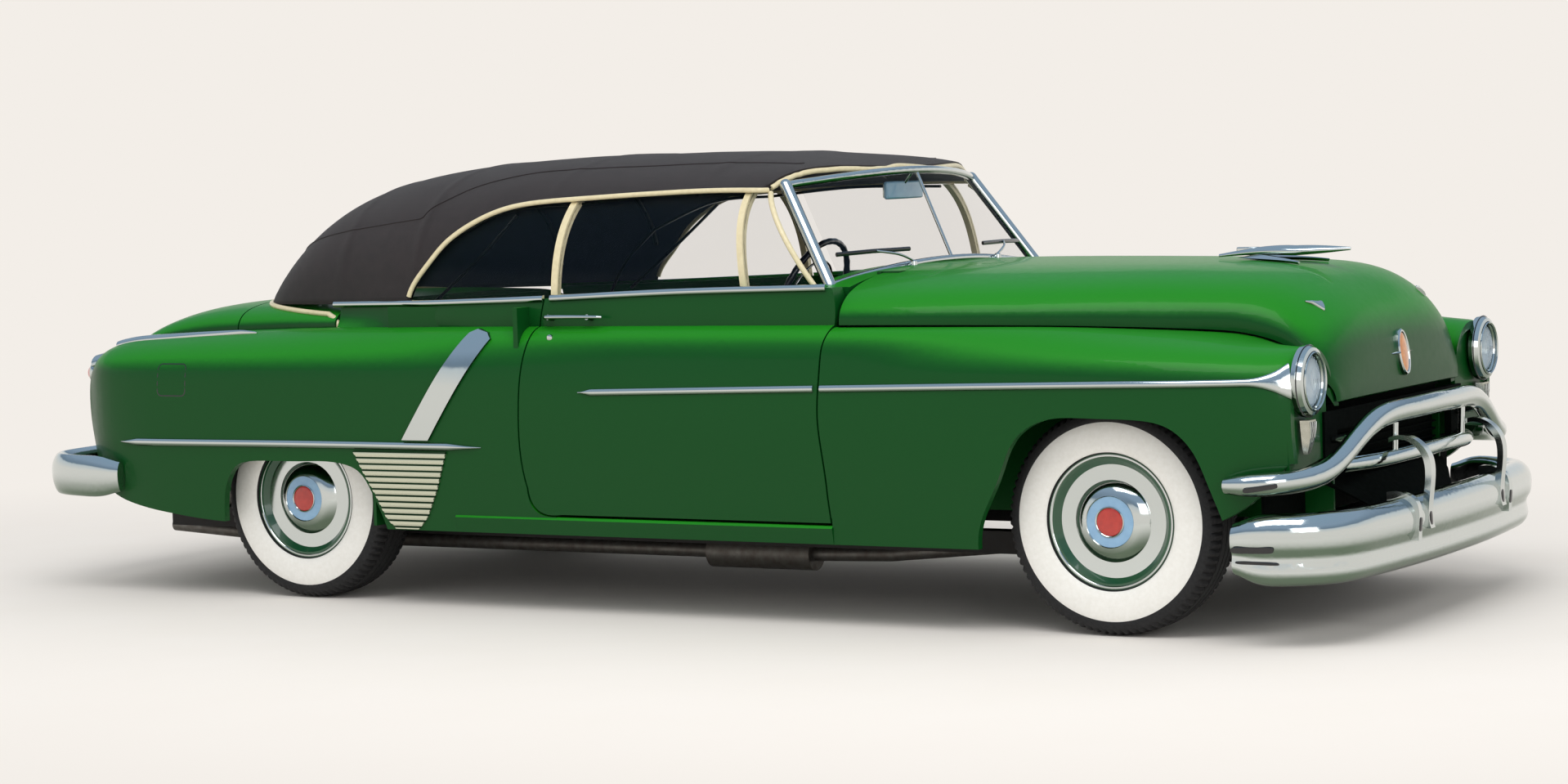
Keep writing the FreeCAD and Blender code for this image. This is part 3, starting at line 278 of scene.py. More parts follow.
def grid_faces(rows, columns, wrap_rows=False, wrap_columns=False):
    """Quads between the points of a grid that is stored row by row."""
    faces = []
    for i in range(rows if wrap_rows else rows - 1):
        here = i * columns
        there = ((i + 1) % rows) * columns
        for j in range(columns if wrap_columns else columns - 1):
            beside = (j + 1) % columns
            faces.append((here + j, here + beside, there + beside, there + j))
    return faces


def skinned(name, rings, mats, body, loop=False, sharp=40.0):
    """Closed solid through rings of equal size; with loop the last ring joins the first."""
    count = len(rings[0])
    verts = [v for ring in rings for v in ring]
    faces = grid_faces(len(rings), count, wrap_rows=loop, wrap_columns=True)
    if not loop:
        faces.append(tuple(range(count))[::-1])
        faces.append(tuple((len(rings) - 1) * count + j for j in range(count)))
    return piece(name, verts, faces, mats, body, sharp=sharp)


def lathe(name, profile, center, side, mats, body, segments=96, matrix=None, sharp=35.0):
    """Turned piece about the Y axis; profile points are (outward, radius), closed at both ends."""
    verts = [Vector((r * c, side * outward, r * s)) for outward, r in profile for c, s in circle(segments)]
    if matrix is not None:
        verts = [matrix @ v for v in verts]
    verts = [v + Vector(center) for v in verts]
    faces = grid_faces(len(profile), segments, wrap_columns=True)
    for row in (0, len(profile) - 1):
        if profile[row][1] > 1e-6 and profile[-1] != profile[0]:
            faces.append(tuple(row * segments + k for k in range(segments)))
    return piece(name, verts, faces, mats, body, sharp=sharp)


def smooth_path(points, count):
    """Evenly spaced points on the smooth curve through the given ones."""
    points = [Vector(p) for p in points]
    if len(points) == 2:
        return [points[0].lerp(points[1], k / (count - 1)) for k in range(count)]
    fine = []
    for k in range(len(points) - 1):
        before = points[max(k - 1, 0)]
        a, b = points[k], points[k + 1]
        after = points[min(k + 2, len(points) - 1)]
        square = 2 * before - 5 * a + 4 * b - after
        cube = 3 * a - before - 3 * b + after
        for step in range(24):
            t = step / 24
            fine.append(0.5 * ((2 * a) + (b - before) * t + square * t * t + cube * t**3))
    fine.append(points[-1])
    length = [0.0]
    for p, q in zip(fine, fine[1:]):
        length.append(length[-1] + (q - p).length)
    out = []
    k = 0
    for i in range(count):
        want = length[-1] * i / (count - 1)
        while k < len(fine) - 2 and length[k + 1] < want:
            k += 1
        span = max(length[k + 1] - length[k], 1e-9)
        out.append(fine[k].lerp(fine[k + 1], min(max((want - length[k]) / span, 0), 1)))
    return out


def tube(name, points, radius, mat, body, count=40, sides=12, loop=False, flat=1.0, up=None):
    """Round or oval bar along a smooth path."""
    path = smooth_path(points, count) if count else [Vector(p) for p in points]
    rings = []
    hint = Vector(up) if up else Vector((0, 0, 1))
    for k, p in enumerate(path):
        if loop:
            t = path[(k + 1) % len(path)] - path[k - 1]
        else:
            t = path[min(k + 1, len(path) - 1)] - path[max(k - 1, 0)]
        t.normalize()
        across = t.cross(hint)
        if across.length < 1e-3:
            across = t.cross(Vector((0, 1, 0)))
        across.normalize()
        lift = across.cross(t).normalized()
        r = radius(k / (len(path) - 1)) if callable(radius) else radius
        rings.append([p + across * r * c + lift * r * flat * s for c, s in circle(sides)])
    return skinned(name, rings, mat, body, loop=loop, sharp=50)


def rounded_box(name, low, high, radius, mat, body):
    """Block with rounded edges."""
    work = bmesh.new()
    bmesh.ops.create_cube(work, size=1)
    low, high = Vector(low), Vector(high)
    for v in work.verts:
        v.co = Vector((low[i] + (v.co[i] + 0.5) * (high[i] - low[i]) for i in range(3)))
    bmesh.ops.bevel(work, geom=work.edges[:], offset=radius, segments=3, profile=0.5, affect="EDGES")
    verts = [v.co.copy() for v in work.verts]
    faces = [tuple(v.index for v in f.verts) for f in work.faces]
    work.free()
    return piece(name, verts, faces, mat, body, sharp=50)


def tree_of(*names):
    """Ray target of CAD nodes."""
    verts, faces = [], []
    for name in names:
        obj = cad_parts[name]
        first = len(verts)
        verts += [obj.matrix_world @ v.co for v in obj.data.vertices]
        faces += [tuple(first + i for i in p.vertices) for p in obj.data.polygons]
    return BVHTree.FromPolygons(verts, faces)


RETRY = (Vector((0, 0, 0)), Vector((2e-4, 3e-4, 2e-4)), Vector((-3e-4, -2e-4, 3e-4)), Vector((1e-3, -1e-3, -1e-3)))


def cast(tree, start, direction):
    """Ray cast that tries again close by where it slips between two faces; gives the point and the normal."""
    for shift in RETRY:
        hit = tree.ray_cast(Vector(start) + shift, Vector(direction))
        if hit[0] is not None:
            return hit[0], hit[1]
    return None, None


bpy.context.view_layer.update()
SKIN_NODES = ("side_spears", "rock_guards", "hood", "trunk_lid")
SKIN = {side: tree_of("body_shell", f"front_fender_{word}", f"door_{word}", *SKIN_NODES) for side, word in SIDES}


def side_hit(x, z, side):
    """Point and normal of the body side at x and z, looking in from that side."""
    return cast(SKIN[side], (x, side * 3, z), (0, -side, 0))


def down_hit(x, y, side, top=3.0):
    """Point and normal of the body at x and y, looking down from the height top."""
    return cast(SKIN[side], (x, y, top), (0, 0, -1))


def settled(values, reach=3):
    """Moving average of a list of vectors."""
    out = []
    for k in range(len(values)):
        near = min(k, len(values) - 1 - k, reach)
        group = values[k - near:k + near + 1]
        out.append(sum(group, Vector()) / len(group))
    return out


def moulding(name, points, normals, half_width, rise, mat, body, sink=0.003, steps=8, loop=False):
    """Half-round strip that lies on a surface along points with the surface's normals."""
    rings = []
    last = len(points) - 1
    for k, (p, n) in enumerate(zip(points, normals)):
        if loop:
            t = points[(k + 1) % len(points)] - points[k - 1]
        else:
            t = points[min(k + 1, last)] - points[max(k - 1, 0)]
        t.normalize()
        n = (n - t * n.dot(t)).normalized()
        across = n.cross(t).normalized()
        w = half_width(k / last) if callable(half_width) else half_width
        h = rise * min(1.0, w / 0.006)
        ring = [p - n * sink - across * w]
        for j in range(steps + 1):
            u = -math.cos(math.pi * j / steps)
            ring.append(p + across * w * u + n * h * math.sqrt(max(0.0, 1 - u * u)))
        ring.append(p - n * sink + across * w)
        rings.append(ring)
    return skinned(name, rings, mat, body, loop=loop, sharp=60)


def side_strip(name, line, side, half_width, rise, mat, body, count=90, reach=3):
    """Moulding on the body side along a line of x and z values."""
    path = smooth_path([(x, 0, z) for x, z in line], count)
    hits = [side_hit(p.x, p.z, side) for p in path]
    points = settled([Vector((p.x, h[0].y, p.z)) for p, h in zip(path, hits)], reach)
    normals = settled([h[1] for h in hits], reach + 2)
    return moulding(name, points, normals, half_width, rise, mat, body)


# Tyres, wheels and hubcaps; profile points are (outward, radius)
WALL_IN = 0.209
WALL_OUT = 0.298
SHOULDER_R = 0.328
SHOULDER_Y = 0.0465
CUT_DEPTH = 0.007
CUT_WIDTH = 0.003
TREAD_PITCHES = 84
STUD_CIRCLE_R = 0.158
STUDS = 5
CORNERS = (
    ("front_right", RIGHT, FRONT_X), ("front_left", LEFT, FRONT_X),
    ("rear_right", RIGHT, REAR_X), ("rear_left", LEFT, REAR_X),
)
TYRE_HALF = [
    (0.082, 0.2055), (0.090, 0.2085), (0.0955, 0.216), (0.0985, 0.232), (0.0995, 0.255), (0.0985, 0.276),
    (0.0955, 0.294), (0.0935, 0.299), (0.0945, 0.302), (0.0915, 0.314), (0.087, 0.325), (0.081, 0.334),
    (0.0725, 0.3395), (0.060, 0.3425), (0.047, 0.3438), (0.0455, 0.3365), (0.0415, 0.3365), (0.040, 0.3442),
    (0.018, 0.345), (0.0165, 0.338), (0.0125, 0.338), (0.011, 0.345),
]
BEAUTY_RING = [
    (0.064, 0.2035), (0.078, 0.2045), (0.0835, 0.2010), (0.084, 0.196), (0.079, 0.1905), (0.066, 0.1835),
    (0.060, 0.1750), (0.056, 0.1745), (0.054, 0.180),
]
CAP_DOME = [
    (0.046, 0.1395), (0.053, 0.1405), (0.058, 0.136), (0.060, 0.128), (0.066, 0.122), (0.080, 0.108),
    (0.0885, 0.092), (0.0915, 0.081), (0.0925, 0.0785), (0.0905, 0.0765), (0.050, 0.0765),
]
CAP_DISC = [(0.060, 0.0766), (0.0890, 0.0764), (0.0905, 0.062), (0.0908, 0.0475), (0.0908, 0.0)]
CAP_RING = [
    (0.0890, 0.0), (0.0890, 0.0475), (0.0935, 0.047), (0.0945, 0.0445), (0.0930, 0.0425), (0.0915, 0.0425),
    (0.0915, 0.0),
]
GEM_ANGLES = [k * math.pi / 12 for k in range(6, -1, -1)]
CAP_GEM = [(0.0905, 0.0), (0.0905, 0.0425)]
CAP_GEM += [(0.0915 + 0.0045 * math.cos(a), 0.0425 * math.sin(a)) for a in GEM_ANGLES]
STUD = [(0.046, 0.0), (0.046, 0.0065), (0.0545, 0.006), (0.0565, 0.0)]
CAP_PARTS = (
    ("beauty_ring", BEAUTY_RING, CHROME, 96), ("hubcap", CAP_DOME, CHROME, 96),
    ("hubcap_disc", CAP_DISC, BLUE_DISC, 72), ("hubcap_ring", CAP_RING, CHROME, 60),
    ("hubcap_gem", CAP_GEM, RED_DISC, 60),
)


def tyre(label, side, x):
    """Whitewall tyre with ribs round the tread and cuts across its shoulders."""
    profile = TYRE_HALF + [(-y, r) for y, r in reversed(TYRE_HALF)]
    segments = TREAD_PITCHES * 3
    verts = []
    for outward, radius in profile:
        shoulder = radius > SHOULDER_R and abs(outward) > SHOULDER_Y
        for k, (c, s) in enumerate(circle(segments)):
            cut = shoulder and k % 3 == 0
            r = radius - CUT_DEPTH if cut else radius
            y = outward - math.copysign(CUT_WIDTH, outward) if cut else outward
            verts.append(Vector((x + r * c, side * (TRACK_Y + y), TYRE_R + r * s)))
    faces = grid_faces(len(profile), segments, wrap_rows=True, wrap_columns=True)
    indices = []
    for a, b in zip(profile, profile[1:] + profile[:1]):
        white = a[0] > 0.08 and b[0] > 0.08 and WALL_IN < (a[1] + b[1]) / 2 < WALL_OUT
        indices += [1 if white else 0] * segments
    obj = piece(f"tyre_{label}_detail", verts, faces, [RUBBER, WHITEWALL], f"wheel_{label}", indices, 38)
    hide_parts(f"tyre_{label}")


def hubcap(label, side, x):
    """Chrome dome with a flat blue disc, a red centre, and the bright ring and studs of the rim."""
    body = f"wheel_{label}"
    center = Vector((x, side * TRACK_Y, TYRE_R))
    for kind, profile, mat, segments in CAP_PARTS:
        lathe(f"{kind}_{label}", profile, center, side, mat, body, segments)
    for k, (c, s) in enumerate(circle(STUDS, math.pi / 2)):
        spot = center + Vector((c, 0, s)) * STUD_CIRCLE_R
        lathe(f"rim_stud_{label}_{k}", STUD, spot, side, DULL_CHROME, body, 16)


for label, side, x in CORNERS:
    tyre(label, side, x)
    hubcap(label, side, x)

# Finishes of the CAD nodes, by the start of their names
NODE_FINISH = {
    "body_shell": PAINT, "front_fender": PAINT, "hood": PAINT, "trunk_lid": PAINT, "door": PAINT, "dashboard": PAINT,
    "nose_panel": MOUTH_SHADE, "windshield_frame": CHROME, "front_bumper": CHROME, "rear_bumper": CHROME, "grille": CHROME,
    "headlamp_bezels": CHROME, "side_spears": CHROME, "rock_guards": GUARD_RIBS, "parking_lamps": DULL_CHROME,
    "windshield_glass": PANE, "rear_window": PANE, "quarter_glass": PANE, "door_glass": PANE,
    "headlamp_lenses": LENS, "tail_lamps": RED_LENS, "window_frame": CREAM, "wheel": RIM_PAINT, "tyre": RUBBER,
    "soft_top": CANVAS, "front_seat": VINYL, "rear_seat": VINYL, "floor_pan": CARPET, "steering_wheel": IVORY,
    "steering_column": BLACK, "chassis_frame": UNDER, "rear_axle": UNDER, "front_suspension": UNDER, "knuckle": UNDER,
    "engine": IRON, "driveline": STEEL, "fuel_tank": STEEL, "exhaust": STEEL,
}
for name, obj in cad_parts.items():
    key = max((k for k in NODE_FINISH if name.startswith(k)), key=len)
    if not obj.material_slots:
        obj.data.materials.append(NODE_FINISH[key])
    for slot in obj.material_slots:
        slot.material = NODE_FINISH[key]

# Soft top: one sheet of cloth over the bows
TOP_TREE = tree_of("soft_top", "rear_window")
TOP_AXIS_Z = 0.9
TOP_COLUMNS = 97
BOWS = (0.22, -0.36, -0.86, -1.24)
BOW_RISE = 0.0035
CLOTH = 0.004
REAR_PANE_Y = 0.33
REAR_PANE_Z = (1.12, 1.30)
PANE_EDGE = 0.004
top_low, top_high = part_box("soft_top")


def top_hit(x, angle):
    """Outer face of the top in the plane x, at an angle from straight up; positive is the car's left."""
    axis = Vector((x, 0, TOP_AXIS_Z))
    outward = Vector((0, math.sin(angle), math.cos(angle)))
    hit = TOP_TREE.ray_cast(axis + outward * 2, -outward)
    if hit[0] is None or (hit[0] - axis).dot(outward) < 0.05:
        return None
    return hit[0]


def top_limit(x):
    """Widest angle at which the plane x still meets the top."""
    if top_hit(x, 0.0) is None:
        return None
    low, high = 0.0, math.radians(89.5)
    for k in range(60):
        a = high * (k + 1) / 60
        if top_hit(x, a) is None:
            high = a
            break
        low = a
    for _ in range(14):
        mid = (low + high) / 2
        if top_hit(x, mid) is None:
            high = mid
        else:
            low = mid
    return low


def in_rear_window(p):
    """Whether a point of the cloth lies over the rear window."""
    low, high = REAR_PANE_Z
    return p.x < -1.2 and abs(p.y) < REAR_PANE_Y + PANE_EDGE and low - PANE_EDGE < p.z < high + PANE_EDGE


stations = []
x = top_low.x + 0.004
while x < top_high.x:
    stations.append(x)
    near_edge = min(abs(x - edge) for edge in (top_low.x, top_high.x, -0.89, -0.85, 0.5))
    x += 0.005 if near_edge < 0.04 else 0.016
top_rows = []
for x in stations:
    limit = top_limit(x)
    if limit is None or limit < 0.03:
        continue
    bow = sum(math.exp(-(((x - b) / 0.022) ** 2)) for b in BOWS)
    row = []
    for j in range(TOP_COLUMNS):
        s = 2 * j / (TOP_COLUMNS - 1) - 1
        p = top_hit(x, s * limit) or top_hit(x, s * limit * 0.998)
        outward = Vector((0, math.sin(s * limit), math.cos(s * limit)))
        ripple = noise.noise(Vector((x * 5, p.y * 7, p.z * 7))) * 0.0018
        row.append(p + outward * (0.0012 + BOW_RISE * bow * (1 - abs(s) ** 6) + ripple))
    top_rows.append(row)

top_verts = [p for row in top_rows for p in row]
top_faces = []
for f in grid_faces(len(top_rows), TOP_COLUMNS):
    if not in_rear_window(sum((top_verts[i] for i in f), Vector()) / 4):
        top_faces.append(f)
top = piece("top_cloth", top_verts, [f[::-1] for f in top_faces], [CANVAS, LINER], "car", sharp=60, closed=False)
thick = top.modifiers.new("thickness", "SOLIDIFY")
thick.thickness = CLOTH
thick.offset = -1
thick.material_offset = 1
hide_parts("soft_top")

# Rails and seams of the top
HEADER_X = 0.492
RAIL_REAR_X = -0.884
for side, word in SIDES:
    edge = [row[0] if side < 0 else row[-1] for row in top_rows]
    rail = [p for p in edge if RAIL_REAR_X < p.x < HEADER_X]
    tube(f"window_rail_{word}", rail, 0.0085, CREAM, "car", count=110, sides=10)
    column = int((TOP_COLUMNS - 1) * (0.5 + side * 0.36))
    seam = [row[column] for row in top_rows if -1.66 < row[column].x < 0.5]
    tube(f"top_seam_{word}", seam, 0.0032, CANVAS, "car", count=150, sides=8)
header = [row[0] for row in top_rows if row[0].x > HEADER_X]
header += [row[-1] for row in reversed(top_rows) if row[-1].x > HEADER_X]
tube("header_welt", header, 0.009, CREAM, "car", count=80, sides=10)

pane_loop = []
for c, s in circle(72):
    y = REAR_PANE_Y * 1.02 * squared(c, 0.35)
    z = sum(REAR_PANE_Z) / 2 + (REAR_PANE_Z[1] - REAR_PANE_Z[0]) * 0.56 * squared(s, 0.45)
    spot = cast(TOP_TREE, (-3, y, z), (1, 0, 0))[0]
    if spot is not None:
        pane_loop.append(spot + Vector((-0.003, 0, 0.002)))
pane_loop = settled(pane_loop + pane_loop[:1], 1)[:-1]
tube("rear_window_frame", pane_loop, 0.013, CREAM, "car", count=0, sides=10, loop=True)

# Bright mouldings along the sides, as (x, z), and the belt line, as (x, y, z)
DOOR_FRONT_X = 0.804
SHUT = 0.004
STRIP_START = -0.097
STRIP_END = 2.318
WING_START = 2.19
FRONT_STRIP = [(STRIP_START, 0.728), (0.30, 0.736), (0.811, 0.746), (1.646, 0.761), (2.165, 0.768), (STRIP_END, 0.770)]
REAR_STRIP = [(-2.051, 0.541), (-1.2, 0.546), (-0.473, 0.545)]
STRIP_HALF = 0.0115
BELT_LINE = [(-1.27, 0.684, 1.006), (-1.0, 0.744, 1.010), (-0.805, 0.790, 1.013), (-0.6, 0.824, 1.018)]
BELT_LINE += [(-0.264, 0.854, 1.027), (0.25, 0.862, 1.045), (0.864, 0.864, 1.054)]


def strip_part(first, last):
    """Piece of the front strip between two X values, with its heights."""
    fine = smooth_path([(x, 0, z) for x, z in FRONT_STRIP], 200)
    kept = [(p.x, p.z) for p in fine if first < p.x < last]
    return kept[::4] + kept[-1:] if kept[::4][-1] != kept[-1] else kept[::4]


def flare(start_x, end_x):
    """Half width along the front strip: pointed behind, flared where it meets the headlamp."""
    def half_width(share):
        x = start_x + share * (end_x - start_x)
        point = min(1.0, max(0.2, (x - STRIP_START) / 0.05))
        wing = max(0.0, (x - WING_START) / (STRIP_END - WING_START))
        return STRIP_HALF * point + 0.042 * wing**2.2
    return half_width


def rear_taper(share):
    """Half width along the rear strip, pointed at both ends."""
    return 0.0135 * min(1.0, 0.12 + share / 0.06, 0.12 + (1 - share) / 0.10)


def belt_run(first, last, side):
    """Points of the belt line between two X values."""
    fine = smooth_path([(x, side * (y + 0.002), z) for x, y, z in BELT_LINE], 220)
    return [p for p in fine if first < p.x < last]


for side, word in SIDES:
    door = f"door_{word}"
    on_door = strip_part(STRIP_START, DOOR_FRONT_X - SHUT)
    on_fender = strip_part(DOOR_FRONT_X + SHUT + 0.003, 2.33)
    side_strip(f"door_strip_{word}", on_door, side, flare(STRIP_START, DOOR_FRONT_X), 0.009, CHROME, door)
    side_strip(f"fender_strip_{word}", on_fender, side, flare(DOOR_FRONT_X, STRIP_END), 0.009, CHROME, "car", 130)
    side_strip(f"rear_strip_{word}", REAR_STRIP, side, rear_taper, 0.011, CHROME, "car", 150, 6)
    out = Vector((0, side, 0.25)).normalized()
    for name, first, last, body in (("belt_door", -0.255, 0.800, door), ("belt_quarter", -1.27, -0.274, "car")):
        run = belt_run(first, last, side)
        moulding(f"{name}_{word}", run, [out] * len(run), STRIP_HALF, 0.010, CHROME, body)

# Bead round the foot of the top on the deck
FOOT_X = -1.24
DECK_TOP = 1.03
foot = [row[0] for row in top_rows if row[0].x < FOOT_X][::-1]
foot += top_rows[0][1:-1] + [row[-1] for row in top_rows if row[-1].x < FOOT_X]
bead = []
for p in smooth_path(foot, 120):
    side = RIGHT if p.y < 0 else LEFT
    away = Vector((-0.3 if p.x < -1.5 else 0.0, side * 0.5, 0)) if abs(p.y) > 0.3 else Vector((-1, 0, 0))
    spot = p + away.normalized() * 0.004
    deck = down_hit(spot.x, spot.y, side, DECK_TOP)[0]
    bead.append(Vector((spot.x, spot.y, (deck.z if deck is not None and deck.z > 0.9 else p.z) + 0.004)))
tube("top_foot_bead", settled(bead, 2), 0.0095, CREAM, "car", count=110, sides=10)

# Door handles, locks and fuel flap
HANDLE_X = (-0.238, -0.052)
HANDLE_Z = 0.962
LOCK = [(-0.003, 0.0), (-0.003, 0.011), (0.003, 0.0105), (0.005, 0.007), (0.005, 0.0)]
for side, word in SIDES:
    door = f"door_{word}"
    a, na = side_hit(HANDLE_X[0], HANDLE_Z, side)
    b, nb = side_hit(HANDLE_X[1], HANDLE_Z, side)
    lift = Vector((0, side * 0.030, 0.006))
    grip = [a + Vector((-0.012, 0, 0)) + lift * 0.5, a + lift, (a + b) / 2 + lift * 1.12, b + lift]
    grip.append(b + Vector((0.022, 0, 0)) + lift * 0.75)
    tube(f"door_handle_{word}", grip, lambda t: 0.0105 - 0.003 * t, CHROME, door, count=36, sides=12, flat=0.75)
    for k, (p, n) in enumerate(((a, na), (b - Vector((0.03, 0, 0)), nb))):
        stem = [p - n * 0.004, p + lift * 0.5, p + lift * 0.95]
        tube(f"handle_foot_{word}_{k}", stem, 0.009, CHROME, door, count=8, sides=12)
    lock = side_hit(HANDLE_X[0] + 0.02, HANDLE_Z - 0.06, side)[0]
    lathe(f"door_lock_{word}", LOCK, lock, side, CHROME, door, 24)

FLAP_X = (-1.860, -1.732)
FLAP_Z = (0.705, 0.815)
FLAP_CORNER = 0.018
loop = []
for quarter, (i, j) in enumerate(((1, 1), (0, 1), (0, 0), (1, 0))):
    corner_x = FLAP_X[i] + (FLAP_CORNER if i == 0 else -FLAP_CORNER)
    corner_z = FLAP_Z[j] + (FLAP_CORNER if j == 0 else -FLAP_CORNER)
    for k in range(7):
        a = math.pi / 2 * (quarter + k / 6)
        loop.append((corner_x + FLAP_CORNER * math.cos(a), corner_z + FLAP_CORNER * math.sin(a)))
flap_line = []
for (x0, z0), (x1, z1) in zip(loop, loop[1:] + loop[:1]):
    steps = max(1, int(math.hypot(x1 - x0, z1 - z0) / 0.02))
    flap_line += [(x0 + (x1 - x0) * k / steps, z0 + (z1 - z0) * k / steps) for k in range(steps)]
hits = [side_hit(x, z, RIGHT) for x, z in flap_line]
points, normals = [h[0] for h in hits], [h[1] for h in hits]
moulding("fuel_flap_gap", points, normals, 0.0022, 0.0008, BLACK, "car", 0.002, 4, loop=True)

# Rear fender crests, tail lamps and rear panel
TAIL_LAMP_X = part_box("tail_lamps")[0].x
TURN_BACK = Matrix.Rotation(math.radians(90), 3, "Z").to_4x4()
CREST_X = (-2.175, -1.52)
CREST_Y = (0.777, 0.807)
CREST_POINTS = 60
HOOD_RINGS = [(-2.165, 0.862), (-2.20, 0.852), (-2.245, 0.838), (-2.29, 0.828)]
HOOD_Y = 0.755
TAIL_BEZEL = [(0.0, 0.043), (0.0, 0.055), (0.012, 0.056), (0.022, 0.051), (0.024, 0.045), (0.015, 0.0435)]
FLUTE_Y = 0.750
for side, word in SIDES:
    crest = []
    for k in range(CREST_POINTS):
        share = k / (CREST_POINTS - 1)
        x = CREST_X[0] + (CREST_X[1] - CREST_X[0]) * share
        y = CREST_Y[0] + (CREST_Y[1] - CREST_Y[0]) * share
        crest.append(down_hit(x, side * y, side)[0])
    crest = settled(crest, 4)
    lean = [Vector((0, side * 0.25, 1)).normalized()] * CREST_POINTS
    moulding(f"fin_spear_{word}", crest, lean, lambda t: 0.019 * (1 - t) ** 0.7 + 0.002, 0.014, CHROME, "car", 0.004)
    rings = []
    for k, (x, z) in enumerate(HOOD_RINGS):
        half = 0.034 + 0.006 * k
        arc = [math.pi * j / 12 for j in range(13)]
        ring = [Vector((x, side * HOOD_Y + half * math.cos(a), z - 0.03 + 0.040 * math.sin(a) ** 0.8)) for a in arc]
        for a in reversed(arc):
            y = side * HOOD_Y + (half - 0.006) * math.cos(a)
            ring.append(Vector((x, y, z - 0.034 + 0.032 * math.sin(a) ** 0.8)))
        rings.append(ring)
    skinned(f"lamp_hood_{word}", rings, CHROME, "car")
    center = Vector((TAIL_LAMP_X + 0.060, side * 0.748, 0.770))
    lathe(f"tail_bezel_{word}", TAIL_BEZEL, center, 1, CHROME, "car", 64, matrix=TURN_BACK)
    fluted = []
    for k in range(11):
        z = 0.715 - 0.135 * k / 10
        w = 0.034 - 0.014 * k / 10
        section = ((-2.283, -w), (-2.300, -w * 0.8), (-2.306 + 0.004 * (k % 2), 0.0), (-2.300, w * 0.8), (-2.283, w))
        fluted.append([Vector((x, side * FLUTE_Y + y, z)) for x, y in section])
    skinned(f"tail_flute_{word}", fluted, DULL_CHROME, "car", sharp=25)

LID_HANDLE_Z = 0.80
LID_HANDLE_HALF = 0.075
LID_STRIP_Z = 0.722
LID_STRIP_HALF = 0.36


def rear_hit(y, z):
    """Point and normal of the tail at y and z, looking forward."""
    return cast(SKIN[RIGHT], (-4, y, z), (1, 0, 0))


def pointed(share):
    """Half width of the lid's moulding, pointed at both ends."""
    return 0.010 * min(1.0, 0.2 + 6 * share, 0.2 + 6 * (1 - share))


grip = []
for y in (-0.075, -0.05, -0.02, 0.02, 0.05, 0.075):
    out = -0.026 * math.cos(y / LID_HANDLE_HALF * math.pi / 2) ** 0.5 - 0.002
    grip.append(rear_hit(y, LID_HANDLE_Z)[0] + Vector((out, 0, 0.006)))
tube("lid_handle", grip, 0.010, CHROME, "trunk_lid", count=30, sides=12)
hits = [rear_hit(-LID_STRIP_HALF + 2 * LID_STRIP_HALF * k / 50, LID_STRIP_Z) for k in range(51)]
points, normals = [h[0] for h in hits], [h[1] for h in hits]
moulding("lid_moulding", points, normals, pointed, 0.008, CHROME, "trunk_lid")

# Headlamps and parking lamps
bezel_low, bezel_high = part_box("headlamp_bezels")
park_low, park_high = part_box("parking_lamps")
LAMP_Y = bezel_high.y - 0.106
LAMP_Z = (bezel_high.z + bezel_low.z) / 2
LAMP_X = bezel_low.x
FACE_FRONT = Matrix.Rotation(math.radians(-90), 3, "Z").to_4x4()
REFLECTOR = [(0.001, 0.0), (0.001, 0.078), (0.016, 0.077), (0.008, 0.055), (0.004, 0.030), (0.003, 0.0)]
LAMP_RIM = [(0.030, 0.0855), (0.036, 0.0865), (0.039, 0.0835), (0.036, 0.0795), (0.030, 0.0795), (0.030, 0.0855)]
LAMP_GROOVE = [(0.0150, 0.1055), (0.0170, 0.1070), (0.0190, 0.1050), (0.0170, 0.1035), (0.0150, 0.1055)]
LENS_R = 0.074
LENS_RIB_PITCH = 0.0155
LENS_FRONT = 0.0368
LENS_CURVE = 2.9
for side, word in SIDES:
    center = Vector((LAMP_X, side * LAMP_Y, LAMP_Z))
    lathe(f"reflector_{word}", REFLECTOR, center, 1, CHROME, "car", 64, matrix=FACE_FRONT)
    lathe(f"lamp_rim_{word}", LAMP_RIM, center, 1, CHROME, "car", 72, matrix=FACE_FRONT)
    lathe(f"lamp_groove_{word}", LAMP_GROOVE, center, 1, BLACK, "car", 72, matrix=FACE_FRONT)
    for k in range(-4, 5):
        y = LENS_RIB_PITCH * k
        reach = math.sqrt(max(0.0, LENS_R**2 - y * y))
        heights = [reach * share for share in (-1, -0.5, 0, 0.5, 1)]
        rib = [center + Vector((LENS_FRONT - LENS_CURVE * (y * y + z * z), y, z)) for z in heights]
        tube(f"lens_rib_{word}_{k + 4}", rib, 0.0011, LENS, "car", count=12, sides=6)
    for k in range(-3, 4):
        upper = park_high.z - 0.006
        lower = park_low.z + 0.030 + 0.018 * abs(k) / 3
        line = []
        for z in (upper, (upper + lower) / 2, lower):
            half = 0.012 + 0.022 * (z - park_low.z) / (park_high.z - park_low.z)
            out = 0.0105 + 0.016 * min(1.0, (z - park_low.z) / 0.06)
            line.append(Vector((LAMP_X + out, side * LAMP_Y + k / 3 * half * 0.66, z)))
        tube(f"park_rib_{word}_{k + 3}", line, 0.0022, CHROME if k % 2 else BLACK, "car", count=10, sides=8)

# Nose medallion and hood ornament
MEDAL_Y = 0.034
MEDAL_Z = 0.062
nose = [cast(SKIN[RIGHT], (4, 0, z), (-1, 0, 0))[0] for z in (0.86, 0.80, 0.74)]
middle = nose[1]
lean = (nose[0] - nose[2]).normalized()
face = Vector((lean.z, 0, -lean.x))
on_nose = Matrix(((face.x, 0, lean.x), (0, 1, 0), (face.z, 0, lean.z))).to_4x4()


def oval(outward, grow):
    """Ring of the medallion at a distance in front of the nose, larger than the enamel by grow."""
    return [middle + on_nose @ Vector((outward, (MEDAL_Y + grow) * c, (MEDAL_Z + grow) * s)) for c, s in circle(48)]


def ovals(*pairs):
    """Rings of the medallion."""
    return [oval(outward, grow) for outward, grow in pairs]


